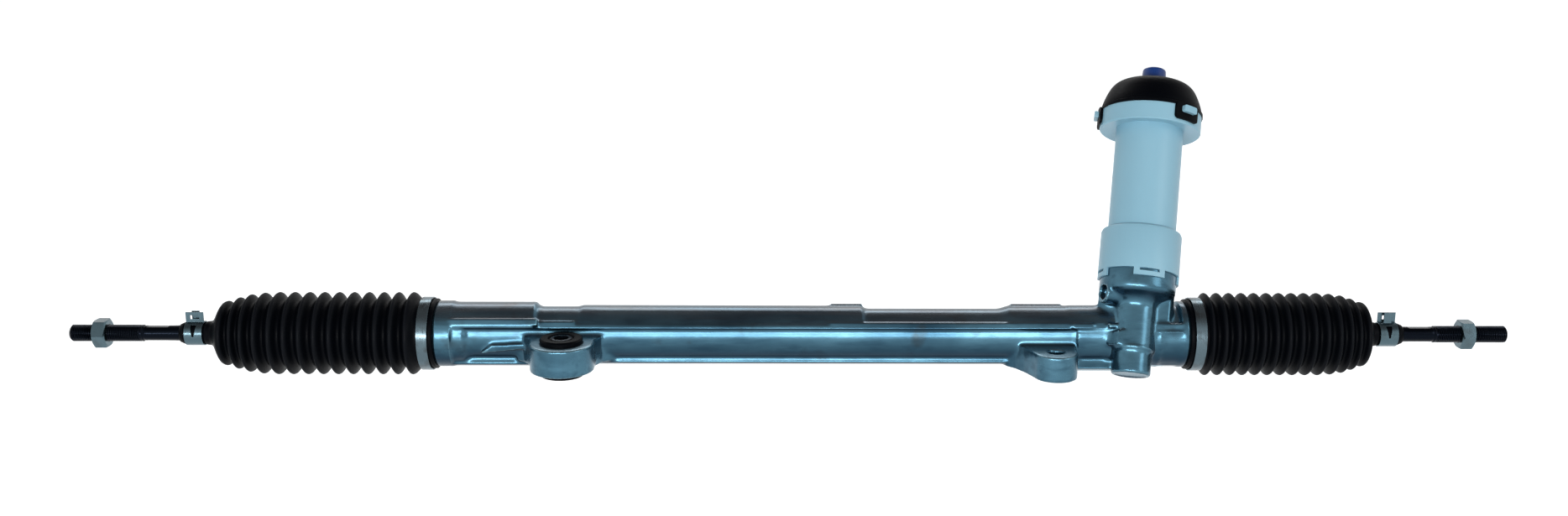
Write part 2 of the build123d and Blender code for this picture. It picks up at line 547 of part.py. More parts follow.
def pinion_section():
    """The pinion's transverse profile: involute flanks from the base circle, with root and tip arcs."""
    alpha = atan(tan(radians(PRESSURE)) / cos(radians(HELIX)))
    base = PITCH_R * cos(alpha)
    half_tooth = (pi / 2 + 2 * PROFILE_SHIFT * tan(radians(PRESSURE))) / TEETH
    half_tooth -= BACKLASH / PITCH_R

    def involute(radius):
        angle = acos(min(1.0, base / radius))
        return tan(angle) - angle

    at_pitch = tan(alpha) - alpha
    radii = [base + (PINION_TIP_R - base) * share for share in (0.0, 0.18, 0.45, 0.72, 1.0)]
    halves = [half_tooth + at_pitch - involute(r) for r in radii]
    step = 2 * pi / TEETH

    def at(radius, angle):
        return (radius * cos(angle), radius * sin(angle))

    edges = []
    for k in range(TEETH):
        middle = k * step + pi / 2
        rising = [at(r, middle - h) for r, h in zip(radii, halves)]
        falling = [at(r, middle + h) for r, h in zip(radii, halves)][::-1]
        foot_in = at(PINION_ROOT_R, middle - halves[0])
        foot_out = at(PINION_ROOT_R, middle + halves[0])
        next_foot = at(PINION_ROOT_R, middle + step - halves[0])
        edges += [Line(foot_in, rising[0]), Spline(*rising),
                  ThreePointArc(rising[-1], at(PINION_TIP_R, middle), falling[0]),
                  Spline(*falling), Line(falling[-1], foot_out),
                  ThreePointArc(foot_out, at(PINION_ROOT_R, middle + step / 2), next_foot)]
    return make_face(edges)


def pinion_shaft():
    """The helical pinion with its lower journal, bearing seat and long input shaft."""
    low, high = -PINION_FACE / 2, PINION_FACE / 2
    turn_per_mm = degrees(tan(radians(HELIX)) / PITCH_R)
    section = pinion_section()
    # The tooth that stands square to the rack at the middle of the face fills a rack gap.
    start = Pos(0, 0, low) * Rot(0, 0, low * turn_per_mm) * section
    turn = PINION_FACE * turn_per_mm
    teeth = Solid.extrude_linear_with_rotation(start.face(), (0, 0, low), (0, 0, PINION_FACE), turn)
    journal = NEEDLE_ID / 2 - FIT
    shaft = turned_z([
        (0, low - 1 - NEEDLE_W), (journal - 0.8, low - 1 - NEEDLE_W), (journal, low - 0.2 - NEEDLE_W),
        (journal, low), (0, low)])
    spline_foot = CAP_FOOT + 2
    upper = turned_z([
        (0, high), (PINION_ROOT_R, high), (PINION_ROOT_R, high + 4), (BEARING_ID / 2 + 2, high + 6),
        (BEARING_ID / 2 + 2, BEARING_FOOT), (BEARING_ID / 2, BEARING_FOOT),
        (BEARING_ID / 2, TOWER_TOP), (SHAFT_R, TOWER_TOP + 1), (SHAFT_R, spline_foot - 4),
        (SPLINE_R - 1.2, spline_foot - 3), (SPLINE_R - 1.2, spline_foot),
        (SPLINE_R, spline_foot + 1), (SPLINE_R, SHAFT_TOP - 1), (SPLINE_R - 1, SHAFT_TOP),
        (0, SHAFT_TOP)])
    return TOWER * (teeth + shaft + upper)


# ---------------------------------------------------------------- bearings, ring and oil seal
def needle_bearing():
    foot = -PINION_FACE / 2 - 2 - NEEDLE_W
    return TOWER * ring_z(NEEDLE_ID / 2, NEEDLE_OD / 2, foot, foot + NEEDLE_W)


def bearing_race(inner, outer):
    """One race of the ball bearing, with its ball groove."""
    pitch_r = (BEARING_ID + BEARING_OD) / 4
    race = ring_z(inner, outer, BEARING_FOOT, BEARING_FOOT + BEARING_W)
    groove = Torus(pitch_r, BEARING_BALL_D / 2 + FIT)
    return TOWER * (race - Pos(0, 0, BEARING_FOOT + BEARING_W / 2) * groove)


def bearing_outer_race():
    return bearing_race((BEARING_ID + BEARING_OD) / 4 + RACE_LIP, BEARING_OD / 2)


def bearing_inner_race():
    return bearing_race(BEARING_ID / 2, (BEARING_ID + BEARING_OD) / 4 - RACE_LIP)


def ball_places():
    pitch_r = (BEARING_ID + BEARING_OD) / 4
    return [Pos(0, 0, BEARING_FOOT + BEARING_W / 2) * Rot(0, 0, k * 360 / BEARING_BALLS) * Pos(pitch_r, 0, 0)
            for k in range(BEARING_BALLS)]


def bearing_balls():
    balls = [place * Sphere(BEARING_BALL_D / 2) for place in ball_places()]
    return TOWER * Compound(children=balls)


def bearing_cage():
    """A crown-shaped ring under the balls with a pocket for each of them."""
    pitch_r = (BEARING_ID + BEARING_OD) / 4
    middle = BEARING_FOOT + BEARING_W / 2
    cage = ring_z(pitch_r - CAGE_HALF, pitch_r + CAGE_HALF, middle - BEARING_BALL_D / 2 - 1.4, middle + 1.2)
    cage -= [place * Sphere(BEARING_BALL_D / 2 + FIT) for place in ball_places()]
    return TOWER * cage


def bearing_retainer():
    """Retaining ring above the bearing, with its gap."""
    foot = BEARING_FOOT + BEARING_W
    outer = BEARING_OD / 2 + RETAINER_GROOVE - FIT
    ring = ring_z(BEARING_OD / 2 - 2.0, outer, foot, foot + RETAINER_W)
    return TOWER * (ring - block(-3.5, 3.5, 0, outer + 1, foot - 1, foot + RETAINER_W + 1))


def shaft_seal():
    """Oil seal in the mouth of the tower, with a lip round the shaft."""
    foot = BEARING_FOOT + BEARING_W + RETAINER_W + 0.5
    inner = BEARING_ID / 2 + CLEAR
    return TOWER * turned_z([
        (inner + 0.6, foot), (inner + 3, foot + 1.4), (BEARING_OD / 2, foot + 1.4),
        (BEARING_OD / 2, foot + SEAL_W), (inner + 3.4, foot + SEAL_W), (inner, foot + SEAL_W - 2.6)])


# ---------------------------------------------------------------- dust tube, seal and cap
def sector(inner, outer, foot, top, turn, span):
    """Part of a ring about Z, centred on an azimuth measured from -Y toward +X."""
    ring = ring_z(inner, outer, foot, top)
    reach = outer * 2
    half = radians(span / 2)
    wedge = outline([(0, 0), (reach * sin(-half), -reach * cos(half)), (reach * sin(half), -reach * cos(half))])
    cutter = Pos(0, 0, foot - 1) * extrude(wedge, top - foot + 2)
    return Rot(0, 0, turn) * (ring & cutter)


def dust_tube():
    """White tube from the tower to the bulkhead: skirt with snap tabs, tube and flange cup."""
    inner = DUST_TUBE_R - DUST_WALL
    skirt_in = TOWER_HEAD_R + FIT
    ledge = TOWER_HEAD_R - 2.2
    tab_foot = SKIRT_FOOT - TAB_DROP
    body = turned_z([
        (skirt_in, tab_foot), (SKIRT_R, tab_foot), (SKIRT_R, SKIRT_TOP - 3.5),
        (SKIRT_R - 1.0, SKIRT_TOP - 1.2), (SKIRT_R - 3.0, SKIRT_TOP), (DUST_TUBE_R, SKIRT_TOP + 0.6),
        (DUST_TUBE_R, FLANGE_FOOT + FLANGE_DISH), (FLANGE_R - 1, FLANGE_FOOT),
        (FLANGE_R, FLANGE_FOOT + 1), (FLANGE_R, FLANGE_TOP), (FLANGE_R - DUST_WALL, FLANGE_TOP),
        (FLANGE_R - DUST_WALL, FLANGE_FOOT + DUST_WALL + 2), (FLANGE_R - 5, FLANGE_FOOT + DUST_WALL + 1),
        (inner, FLANGE_FOOT + FLANGE_DISH + DUST_WALL), (inner, SKIRT_TOP - 2), (ledge, SKIRT_TOP - 5),
        (ledge, TOWER_TOP), (skirt_in, TOWER_TOP)])
    between = 360 / len(TAB_TURNS)
    for turn in TAB_TURNS:
        body -= sector(skirt_in - 1, SKIRT_R + 1, tab_foot - 1, SKIRT_FOOT, turn + between / 2,
                       between - TAB_SPAN)
        body -= sector(skirt_in - 1, SKIRT_R + 1, SKIRT_FOOT - 2.6, SKIRT_FOOT - 0.2, turn,
                       TAB_SPAN * TAB_SLOT_SHARE)
    top = FLANGE_TOP - PEG_DROP
    body += [on_flange(turn, RectangleRounded(PEG_WIDTH, PEG_H, 1.4), top - PEG_H / 2,
                       FLANGE_R - 1, FLANGE_R + PEG_REACH) for turn in SEAL_HOOK_TURNS]
    return TOWER * body


def on_flange(turn, shape, height, inner, outer):
    """A flat shape set upright at an azimuth, as thick as a ring about Z between two radii."""
    face = Plane.XZ.offset(inner / 2) * shape
    return Rot(0, 0, turn) * (Pos(0, 0, height) * extrude(face, outer)
                              & ring_z(inner, outer, height - FLANGE_R, height + FLANGE_R))


def dome_wall(drop):
    """Side and crown of the dome in section, this far inside its outer skin."""
    side, top = DOME_R - 1 - drop, DOME_TOP - drop
    return [(side, FLANGE_TOP + DOME_BEAD_H + 0.6), (side - 2.2, FLANGE_TOP + 0.40 * DOME_H),
            (side - 6.9 + 0.3 * drop, top - 0.26 * DOME_H), (side - 21, top - 0.6)]


def dust_seal():
    """Black rubber dome on the flange, with a hook over each of the tube's pegs."""
    lip = CAP_R + CLEAR
    skin, lining = dome_wall(0), dome_wall(DOME_WALL)
    section = [
        Line((DOME_R - DOME_WALL - 3, FLANGE_TOP), (DOME_R, FLANGE_TOP)),
        Line((DOME_R, FLANGE_TOP), (DOME_R, FLANGE_TOP + DOME_BEAD_H)),
        Line((DOME_R, FLANGE_TOP + DOME_BEAD_H), skin[0]),
        Spline(*skin, tangents=((-0.1, 1), (-1, 0.1))),
        Line(skin[-1], (lip + 1, DOME_TOP)), Line((lip + 1, DOME_TOP), (lip, DOME_TOP - 1)),
        Line((lip, DOME_TOP - 1), (lip, DOME_TOP - DOME_WALL)), Line((lip, DOME_TOP - DOME_WALL), lining[-1]),
        Spline(*lining[::-1], tangents=((1, -0.1), (0.1, -1))),
        Line(lining[0], (DOME_R - DOME_WALL - 1, FLANGE_TOP + 1)),
        Line((DOME_R - DOME_WALL - 1, FLANGE_TOP + 1), (DOME_R - DOME_WALL - 3, FLANGE_TOP))]
    dome = revolve(Plane.XZ * make_face(section), Axis.Z, 360)
    hook_in = FLANGE_R + CLEAR
    height = FLANGE_TOP - HOOK_DROP / 2 + 1
    peg = FLANGE_TOP - PEG_DROP - PEG_H / 2
    for turn in SEAL_HOOK_TURNS:
        dome += on_flange(turn, RectangleRounded(HOOK_WIDTH, HOOK_DROP + 2, 3), height, hook_in, hook_in + HOOK_T)
        dome -= on_flange(turn, RectangleRounded(PEG_WIDTH + 2 * CLEAR, PEG_H + 2 * CLEAR, 1.4 + CLEAR), peg,
                          hook_in - 1, DOME_R + PEG_REACH)
    return TOWER * dome


def spline_cap():
    """Blue push-on cap over the input splines."""
    cap = turned_z([
        (SPLINE_R + FIT, CAP_FOOT), (CAP_R, CAP_FOOT), (CAP_R, DOME_TOP + 1), (CAP_R - 0.8, CAP_TOP),
        (0, CAP_TOP), (0, CAP_TOP - CAP_CROWN), (SPLINE_R + FIT, CAP_TOP - CAP_CROWN)])
    return TOWER * fillet(cap.edges().sort_by(Axis.Z)[-1], CAP_ROUND)


# ---------------------------------------------------------------- rack guide
def at_guide(shape):
    return GEAR * (Pos(PINION_X, 0, 0) * shape)


def yoke_liner():
    """Thin plastic saddle between the rack's back and the yoke."""
    inner = RACK_R + FIT
    saddle = bar_x(inner + LINER_T, -YOKE_R + 1, YOKE_R - 1) - bar_x(inner, -YOKE_R, YOKE_R)
    return at_guide(saddle & bar_y(YOKE_R - 0.5, 4, RACK_R + 4))


def support_yoke():
    """The guide that presses the rack against the pinion, hollow behind for its springs."""
    yoke = bar_y(YOKE_R - FIT, 2, YOKE_BACK)
    yoke -= bar_x(RACK_R + FIT + LINER_T, -YOKE_R - 1, YOKE_R + 1)
    yoke -= bar_y(YOKE_POCKET_R, YOKE_BACK - YOKE_POCKET, YOKE_BACK + 1)
    return at_guide(yoke)


def yoke_spring():
    """Two cupped disc springs back to back inside the yoke."""
    start = YOKE_BACK - YOKE_POCKET
    half = (YOKE_POCKET + PLUG_GAP) / 2
    inner, outer, t = DISC_SPRING_BORE_R, YOKE_POCKET_R - 0.3, 1.2
    disc = turned_z([(inner, half - t), (outer, 0), (outer, t), (inner, half)])
    stack = disc + Pos(0, 0, 2 * half) * (Rot(180, 0, 0) * disc)
    return at_guide(Pos(0, start, 0) * Rot(-90, 0, 0) * stack)


def yoke_plug():
    """Screwed plug behind the springs, with a hexagon socket."""
    start = YOKE_BACK + PLUG_GAP
    end = YOKE_BOSS_END + LOCK_NUT_T + 2
    socket = Plane.XZ.offset(-end - 1) * RegularPolygon(PLUG_SOCKET_AF / sqrt(3), 6)
    return at_guide(bar_y(YOKE_R, start, end) - extrude(socket, PLUG_SOCKET_DEPTH + 1))


def yoke_lock_nut():
    """Thin hexagon nut that locks the plug against the boss."""
    prism = Plane.XZ.offset(-YOKE_BOSS_END) * RegularPolygon(LOCK_NUT_AF / sqrt(3), 6)
    nut = extrude(prism, -LOCK_NUT_T)
    return at_guide(nut - bar_y(YOKE_R + FIT, YOKE_BOSS_END - 1, YOKE_BOSS_END + LOCK_NUT_T + 1))


def rack_bush():
    """Plastic bush that carries the rack's plain end."""
    bush = bar_x(RACK_BUSH_R, LEFT_STOP, LEFT_STOP + RACK_BUSH_LENGTH)
    return GEAR * (bush - bar_x(RACK_R + FIT, LEFT_STOP - 1, LEFT_STOP + RACK_BUSH_LENGTH + 1))


# ---------------------------------------------------------------- ball joints and tie rods
# Each side is drawn with +X pointing outward from the ball centre and then placed.
def placed(side, shape):
    """Puts a piece drawn outward from the ball centre at the left (-1) or right (1) end."""
    ball = LEFT_BALL if side < 0 else RIGHT_BALL
    turn = Rot(0, 0, 180) if side < 0 else Rot(0, 0, 0)
    return RACK_LINE * Pos(ball, 0, 0) * turn * shape


def ball_socket(side):
    """Steel cup round the ball, with the stud that screws into the rack."""
    cavity = BALL_R + BALL_SEAT_T
    mouth = sqrt(cavity ** 2 - SOCKET_MOUTH ** 2)
    cup = turned_x([
        (-SOCKET_BACK - STUD_LENGTH, 0), (-SOCKET_BACK - STUD_LENGTH, STUD_R - 1),
        (-SOCKET_BACK - STUD_LENGTH + 1, STUD_R), (-SOCKET_BACK, STUD_R),
        (-SOCKET_BACK, SOCKET_R - 1), (-SOCKET_BACK + 1, SOCKET_R), (4, SOCKET_R),
        (SOCKET_FRONT, SOCKET_R - 3.5), (SOCKET_FRONT, mouth + 1.6), (SOCKET_MOUTH, mouth),
        (0, mouth), (0, 0)])
    cup -= Sphere(cavity)
    flats = block(-SOCKET_BACK + 2, -SOCKET_BACK + 9, -SOCKET_R - 1, SOCKET_R + 1, SOCKET_R - 1.6, SOCKET_R + 1)
    return placed(side, cup - flats - Rot(180, 0, 0) * flats)


def ball_seat(side):
    """Plastic shell between ball and socket."""
    shell = Sphere(BALL_R + BALL_SEAT_T - FIT) - Sphere(BALL_R + FIT)
    return placed(side, shell & bar_x(BALL_R * 2, -BALL_R * 2, SOCKET_MOUTH - 3))


def tie_rod(side):
    """Ball, neck, shank with spanner flats, and the plain outside of the thread."""
    shank, thread, neck = ROD_D / 2, THREAD_D / 2, NECK_D / 2
    grip_from, grip_to = nut_start(side) - 0.5, nut_start(side) + ROD_NUT_T + 0.5
    rod = turned_x([
        (0, 0), (0, neck), (SOCKET_FRONT + 3, neck), (SOCKET_FRONT + 8, shank), (THREAD_FROM - 2, shank),
        (THREAD_FROM - 1, thread - 0.9), (THREAD_FROM + 1, thread - 0.9), (THREAD_FROM + 2, thread),
        (grip_from, thread), (grip_from, ENGAGED_R), (grip_to, ENGAGED_R), (grip_to, thread),
        (TIE_ROD_LENGTH - 1.5, thread), (TIE_ROD_LENGTH, thread - 1.5), (TIE_ROD_LENGTH, 0)])
    rod += Sphere(BALL_R)
    flats_to = THREAD_FROM - FLATS_TO_THREAD
    flat = block(flats_to - FLATS_LENGTH, flats_to, -shank - 1, shank + 1, FLATS_AF / 2, shank + 1)
    return placed(side, rod - flat - Rot(180, 0, 0) * flat)


def nut_start(side):
    """Inner face of the lock nut, outward from the ball centre."""
    to_tip = LEFT_NUT_TO_TIP if side < 0 else RIGHT_NUT_TO_TIP
    return TIE_ROD_LENGTH - to_tip - ROD_NUT_T


def lock_nut(side):
    start = nut_start(side)
    return placed(side, hexagon_x(ROD_NUT_AF, start, start + ROD_NUT_T, ENGAGED_R + FIT))


# ---------------------------------------------------------------- boots and their clamps
def clip_start(side):
    """Inner edge of the small clip, outward along X from the middle of the ball."""
    return LEFT_CLIP_FROM if side < 0 else RIGHT_CLIP_FROM


def boot(side):
    """Corrugated boot: thin skin from the bell's seat to a neck on the tie rod."""
    end = LEFT_END if side < 0 else RIGHT_END
    ball = LEFT_BALL if side < 0 else RIGHT_BALL
    mouth = -abs(ball - end) - SEAT_LENGTH + 0.5
    bell_face = -abs(ball - end)
    clip = clip_start(side)
    first = bell_face + (4.2 if side < 0 else 0.6)
    last = clip - 19.0 if side < 0 else clip - 14.5
    shares = [1.0] * (BOOT_RIDGES - 4) + [0.9, 0.78, 0.78]
    pitch = (last - first) / sum(shares)
    radii = [BOOT_RIDGE_R] * (BOOT_RIDGES - 4) + [BOOT_RIDGE_R - d for d in (0.6, 2.0, 4.2, 7.1)]
    places = [first + pitch * sum(shares[:k]) for k in range(BOOT_RIDGES)]
    neck_r = CLIP_R - CLIP_T - CLEAR
    outer = [(mouth, BOOT_LIP_R - 0.3), (bell_face - 0.4, BOOT_LIP_R - 0.3)]
    for k, (x, r) in enumerate(zip(places, radii)):
        outer.append((x, r))
        if k < BOOT_RIDGES - 1:
            low = min(r, radii[k + 1]) - BOOT_VALLEY_DROP * min(1.0, pitch / 11)
            outer.append((x + pitch * shares[k] / 2, low))
    outer += [(last + 3.5, radii[-1] - 2.5), (last + 7.5, neck_r + 4), (clip - 4.5, neck_r + 1.4),
              (clip - 1, neck_r), (clip + CLIP_WIDTH + 1, neck_r), (clip + CLIP_WIDTH + 5, neck_r - 0.4)]
    inside = BOOT_RIDGE_R - BOOT_VALLEY_DROP - BOOT_SKIN - 1.6
    rod = ROD_D / 2 + CLEAR
    inner = [(clip + CLIP_WIDTH + 5, rod), (clip - 4.5, rod), (last + 5, neck_r), (last - 2, radii[-1] - 7),
             (places[-3], inside - 2), (places[-5], inside), (bell_face - 0.4, inside),
             (bell_face - 0.4, BELL_SEAT_R + FIT), (mouth, BELL_SEAT_R + FIT)]
    return placed(side, turned_x(outer + inner))


def boot_band(side):
    """Large steel band round the boot's lip, with a crimped ear behind."""
    end = LEFT_END if side < 0 else RIGHT_END
    ball = LEFT_BALL if side < 0 else RIGHT_BALL
    start = -abs(ball - end) - BAND_FROM - BAND_WIDTH
    inner = BAND_R - BAND_T
    band = bar_x(BAND_R, start, start + BAND_WIDTH) - bar_x(inner, start - 1, start + BAND_WIDTH + 1)
    ear = block(start + 0.6, start + BAND_WIDTH - 0.6, -4.5, 4.5, inner + 0.2, BAND_R + 2.4)
    ear -= block(start, start + BAND_WIDTH, -3.0, 3.0, inner, BAND_R + 1.2)
    band += Rot(-70 if side > 0 else 70, 0, 0) * ear
    return placed(side, band)


def boot_clip(side):
    """Spring band clip on the boot's neck: slotted band, wide loop ear and narrow tongue ear."""
    start = clip_start(side)
    end = start + CLIP_WIDTH
    middle = (start + end) / 2
    inner = CLIP_R - CLIP_T
    top = CLIP_R + CLIP_EAR_H
    foot = inner + 0.3
    viewer = 1 if side < 0 else -1
    band = bar_x(CLIP_R, start, end) - bar_x(inner, start - 1, end + 1)
    slot = outline([(middle - 2.5, 8.4), (middle + 2.5, 8.4), (middle + 0.6, -0.6), (middle - 0.6, -0.6)])
    upright = Plane.XZ * slot
    band -= extrude(upright, -viewer * (CLIP_R + 2))
    wide = block(start, end, EAR_GAP, EAR_GAP + CLIP_T, foot, top)
    wide -= block(start + 3.6, end - 3.6, 0, EAR_GAP + 2 * CLIP_T, CLIP_R + 2.2, top - 2.6)
    tongue = block(middle - 3.2, middle + 3.2, -EAR_GAP - CLIP_T, -EAR_GAP, foot, top + 0.4)
    return placed(side, band + wide + tongue)


# ---------------------------------------------------------------- write every node
NODES = {
    "rack_housing": rack_housing,
    "mount_bush": mount_bush,
    "mount_sleeve": mount_sleeve,
    "rack_bush": rack_bush,
    "needle_bearing": needle_bearing,
    "bearing_outer_race": bearing_outer_race,
    "bearing_inner_race": bearing_inner_race,
    "bearing_balls": bearing_balls,
    "bearing_cage": bearing_cage,
    "bearing_retainer": bearing_retainer,
    "shaft_seal": shaft_seal,
    "dust_tube": dust_tube,
    "dust_seal": dust_seal,
    "spline_cap": spline_cap,
    "pinion_shaft": pinion_shaft,
    "rack_bar": rack_bar,
    "support_yoke": support_yoke,
    "yoke_liner": yoke_liner,
    "yoke_spring": yoke_spring,
    "yoke_plug": yoke_plug,
    "yoke_lock_nut": yoke_lock_nut,
}
SIDED = {
    "ball_socket": ball_socket,
    "ball_seat": ball_seat,
    "tie_rod": tie_rod,
    "rod_lock_nut": lock_nut,
    "boot": boot,
    "boot_band": boot_band,
    "boot_clip": boot_clip,
}

if __name__ == "__main__":
    os.makedirs("parts", exist_ok=True)
    for name, make in NODES.items():
        export_step(make(), f"parts/{name}.step")
    for name, make in SIDED.items():
        for word, side in (("left", -1), ("right", 1)):
            export_step(make(side), f"parts/{word}_{name}.step")
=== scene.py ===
import json
import logging
import math
from dataclasses import dataclass, field
from enum import Enum
from typing import Iterable, Sequence

import bmesh
import bpy
import numpy as np
from bmesh.types import BMEdge, BMesh
from bpy.types import Material, Mesh, Node, NodeSocket, NodeTree, Object
from mathutils import Matrix, Vector


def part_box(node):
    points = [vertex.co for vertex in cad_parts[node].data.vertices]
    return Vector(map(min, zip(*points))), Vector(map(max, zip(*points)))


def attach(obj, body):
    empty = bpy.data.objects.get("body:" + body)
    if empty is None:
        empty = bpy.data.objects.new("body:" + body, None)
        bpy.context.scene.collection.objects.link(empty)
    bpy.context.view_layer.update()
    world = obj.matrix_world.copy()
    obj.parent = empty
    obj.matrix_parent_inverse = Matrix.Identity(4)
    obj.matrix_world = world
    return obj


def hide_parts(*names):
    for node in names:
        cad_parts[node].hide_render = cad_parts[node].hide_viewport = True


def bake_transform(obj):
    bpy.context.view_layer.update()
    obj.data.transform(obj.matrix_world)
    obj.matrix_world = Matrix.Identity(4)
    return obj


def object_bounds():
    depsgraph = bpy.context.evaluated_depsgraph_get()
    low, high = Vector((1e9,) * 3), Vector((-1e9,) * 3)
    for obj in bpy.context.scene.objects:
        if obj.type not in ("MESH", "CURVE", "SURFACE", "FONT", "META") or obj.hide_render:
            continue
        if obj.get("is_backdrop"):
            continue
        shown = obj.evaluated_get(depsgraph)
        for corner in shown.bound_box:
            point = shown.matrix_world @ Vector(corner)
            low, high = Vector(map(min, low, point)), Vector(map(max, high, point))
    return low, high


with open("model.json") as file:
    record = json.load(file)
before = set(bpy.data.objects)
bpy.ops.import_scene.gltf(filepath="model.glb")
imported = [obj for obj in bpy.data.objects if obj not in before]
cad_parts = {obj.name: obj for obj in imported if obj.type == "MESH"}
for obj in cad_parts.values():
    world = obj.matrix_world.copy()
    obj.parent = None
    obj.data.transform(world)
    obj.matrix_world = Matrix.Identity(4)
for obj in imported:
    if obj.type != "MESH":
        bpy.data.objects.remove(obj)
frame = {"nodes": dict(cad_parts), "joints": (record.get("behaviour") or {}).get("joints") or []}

LOG = logging.getLogger("steering_rack")
WELD = 2e-6        # points of a finished piece nearer than this are one
CAD_WELD = 1e-6    # the same in a copy of a solid's mesh
FINE_WELD = 1e-7   # the same in a turned shape and along a cut
Colour = tuple[float, float, float]
Place = tuple[float, float, float]
Outline = list[tuple[float, float, float]]
NOISE_ROUGHNESS = 0.55
CREST = "crest"    # the mesh attribute that says how near a point is to a ridge's crest


class Side(Enum):
    """The two ends of the rack, as the sign of the way outward along X."""

    LEFT = -1
    RIGHT = 1

    @property
    def word(self) -> str:
        """The word that starts this side's node names."""
        return self.name.lower()


class Body(Enum):
    """The bodies of the frame that pieces ride on."""

    HOUSING = "housing"
    RACK = "rack"
    PINION = "pinion"
    LEFT_ROD = "left_tie_rod"
    RIGHT_ROD = "right_tie_rod"


def rod_body(side: Side) -> Body:
    """The tie rod's body on one side."""
    return Body.LEFT_ROD if side is Side.LEFT else Body.RIGHT_ROD


# --- materials
def shaded(colour: Colour, share: float) -> Colour:
    """A colour whose channels are all scaled by a share."""
    return tuple(channel * share for channel in colour)


def add_node(tree: NodeTree, kind: str, inputs: dict | None = None,
             **settings: object) -> Node:
    """Adds a node to a tree.

    Args:
        tree: The node tree.
        kind: The node's type name without its ShaderNode prefix.
        inputs: Socket names or numbers, and what goes in: a value or another node's output.
        **settings: The node's own properties.

    Returns:
        The new node.
    """
    made = tree.nodes.new("ShaderNode" + kind)
    for key, value in settings.items():
        setattr(made, key, value)
    for key, value in (inputs or {}).items():
        if isinstance(value, NodeSocket):
            tree.links.new(value, made.inputs[key])
        else:
            made.inputs[key].default_value = value
    return made


def add_ramp(tree: NodeTree, factor: NodeSocket,
             stops: tuple[tuple[float, Colour], tuple[float, Colour]]) -> NodeSocket:
    """Adds a ramp between two colours.

    Args:
        tree: The node tree.
        factor: What drives the ramp.
        stops: The position and colour of both ends.

    Returns:
        The ramp's colour.
    """
    made = add_node(tree, "ValToRGB", {"Fac": factor})
    for element, (place, colour) in zip(made.color_ramp.elements, stops):
        element.position = place
        element.color = (*colour, 1.0)
    return made.outputs["Color"]


class Shader:
    """A small wrapper that builds one material's node tree."""

    def __init__(self, name: str) -> None:
        """Starts a material with a Principled shader on its output.

        Args:
            name: The material's name.
        """
        self.material = bpy.data.materials.new(name)
        self.material.use_nodes = True
        self.tree = self.material.node_tree
        self.surface = self.tree.nodes["Principled BSDF"]
        self.coords = self.tree.nodes.new("ShaderNodeTexCoord").outputs["Object"]

    def node(self, kind: str, inputs: dict | None = None, **settings: object) -> Node:
        """Adds a node to the material's tree, as add_node does."""
        return add_node(self.tree, kind, inputs, **settings)

    def noise(self, scale: float, detail: float = 3.0,
              stretch: Sequence[float] = (1, 1, 1)) -> NodeSocket:
        """A noise pattern on Object coordinates.

        Args:
            scale: Cells per metre.
            detail: Octaves.
            stretch: Scale along each axis.

        Returns:
            The noise node's factor.
        """
        mapping = self.node("Mapping", {"Vector": self.coords, "Scale": tuple(stretch)})
        made = self.node("TexNoise", {"Vector": mapping.outputs[0], "Scale": scale, "Detail": detail,
                                      "Roughness": NOISE_ROUGHNESS})
        return made.outputs["Fac"]

    def levels(self, factor: NodeSocket, low: float, high: float,
               start: float = 0.3, end: float = 0.7) -> NodeSocket:
        """Maps a factor from one range to another.

        Args:
            factor: The pattern.
            low: What comes out at start and under it.
            high: What comes out at end and over it.
            start: The pattern's low end.
            end: The pattern's high end.

        Returns:
            The mapped value.
        """
        made = self.node("MapRange", {"Value": factor, "From Min": start, "From Max": end,
                                      "To Min": low, "To Max": high})
        return made.outputs["Result"]

    def mix(self, factor: NodeSocket | float, first: NodeSocket | Colour,
            second: NodeSocket | Colour) -> NodeSocket:
        """Mixes two colours.

        Args:
            factor: The share of the second.
            first: A colour or an output.
            second: A colour or an output.

        Returns:
            The mixed colour.
        """
        inputs = {0: factor}
        for number, colour in ((6, first), (7, second)):
            inputs[number] = colour if isinstance(colour, NodeSocket) else (*colour, 1.0)
        return self.node("Mix", inputs, data_type="RGBA").outputs[2]

    def finished(self, colour: NodeSocket, rough: NodeSocket,
                 heights: Iterable[tuple[NodeSocket, float]], **values: float | Place) -> Material:
        """Feeds the Principled shader.

        Args:
            colour: The base colour.
            rough: The roughness.
            heights: Height patterns, with the depth in metres of each.
            **values: Constants, as socket names with underscores for spaces.

        Returns:
            The material.
        """
        normal = None
        for height, depth in heights:
            inputs = {"Height": height, "Distance": depth, "Strength": 1.0}
            if normal is not None:
                inputs["Normal"] = normal
            normal = self.node("Bump", inputs).outputs["Normal"]
        sockets = self.surface.inputs
        for name, output in (("Base Color", colour), ("Roughness", rough), ("Normal", normal)):
            self.tree.links.new(output, sockets[name])
        for name, value in values.items():
            sockets[name.replace("_", " ")].default_value = value
        return self.material


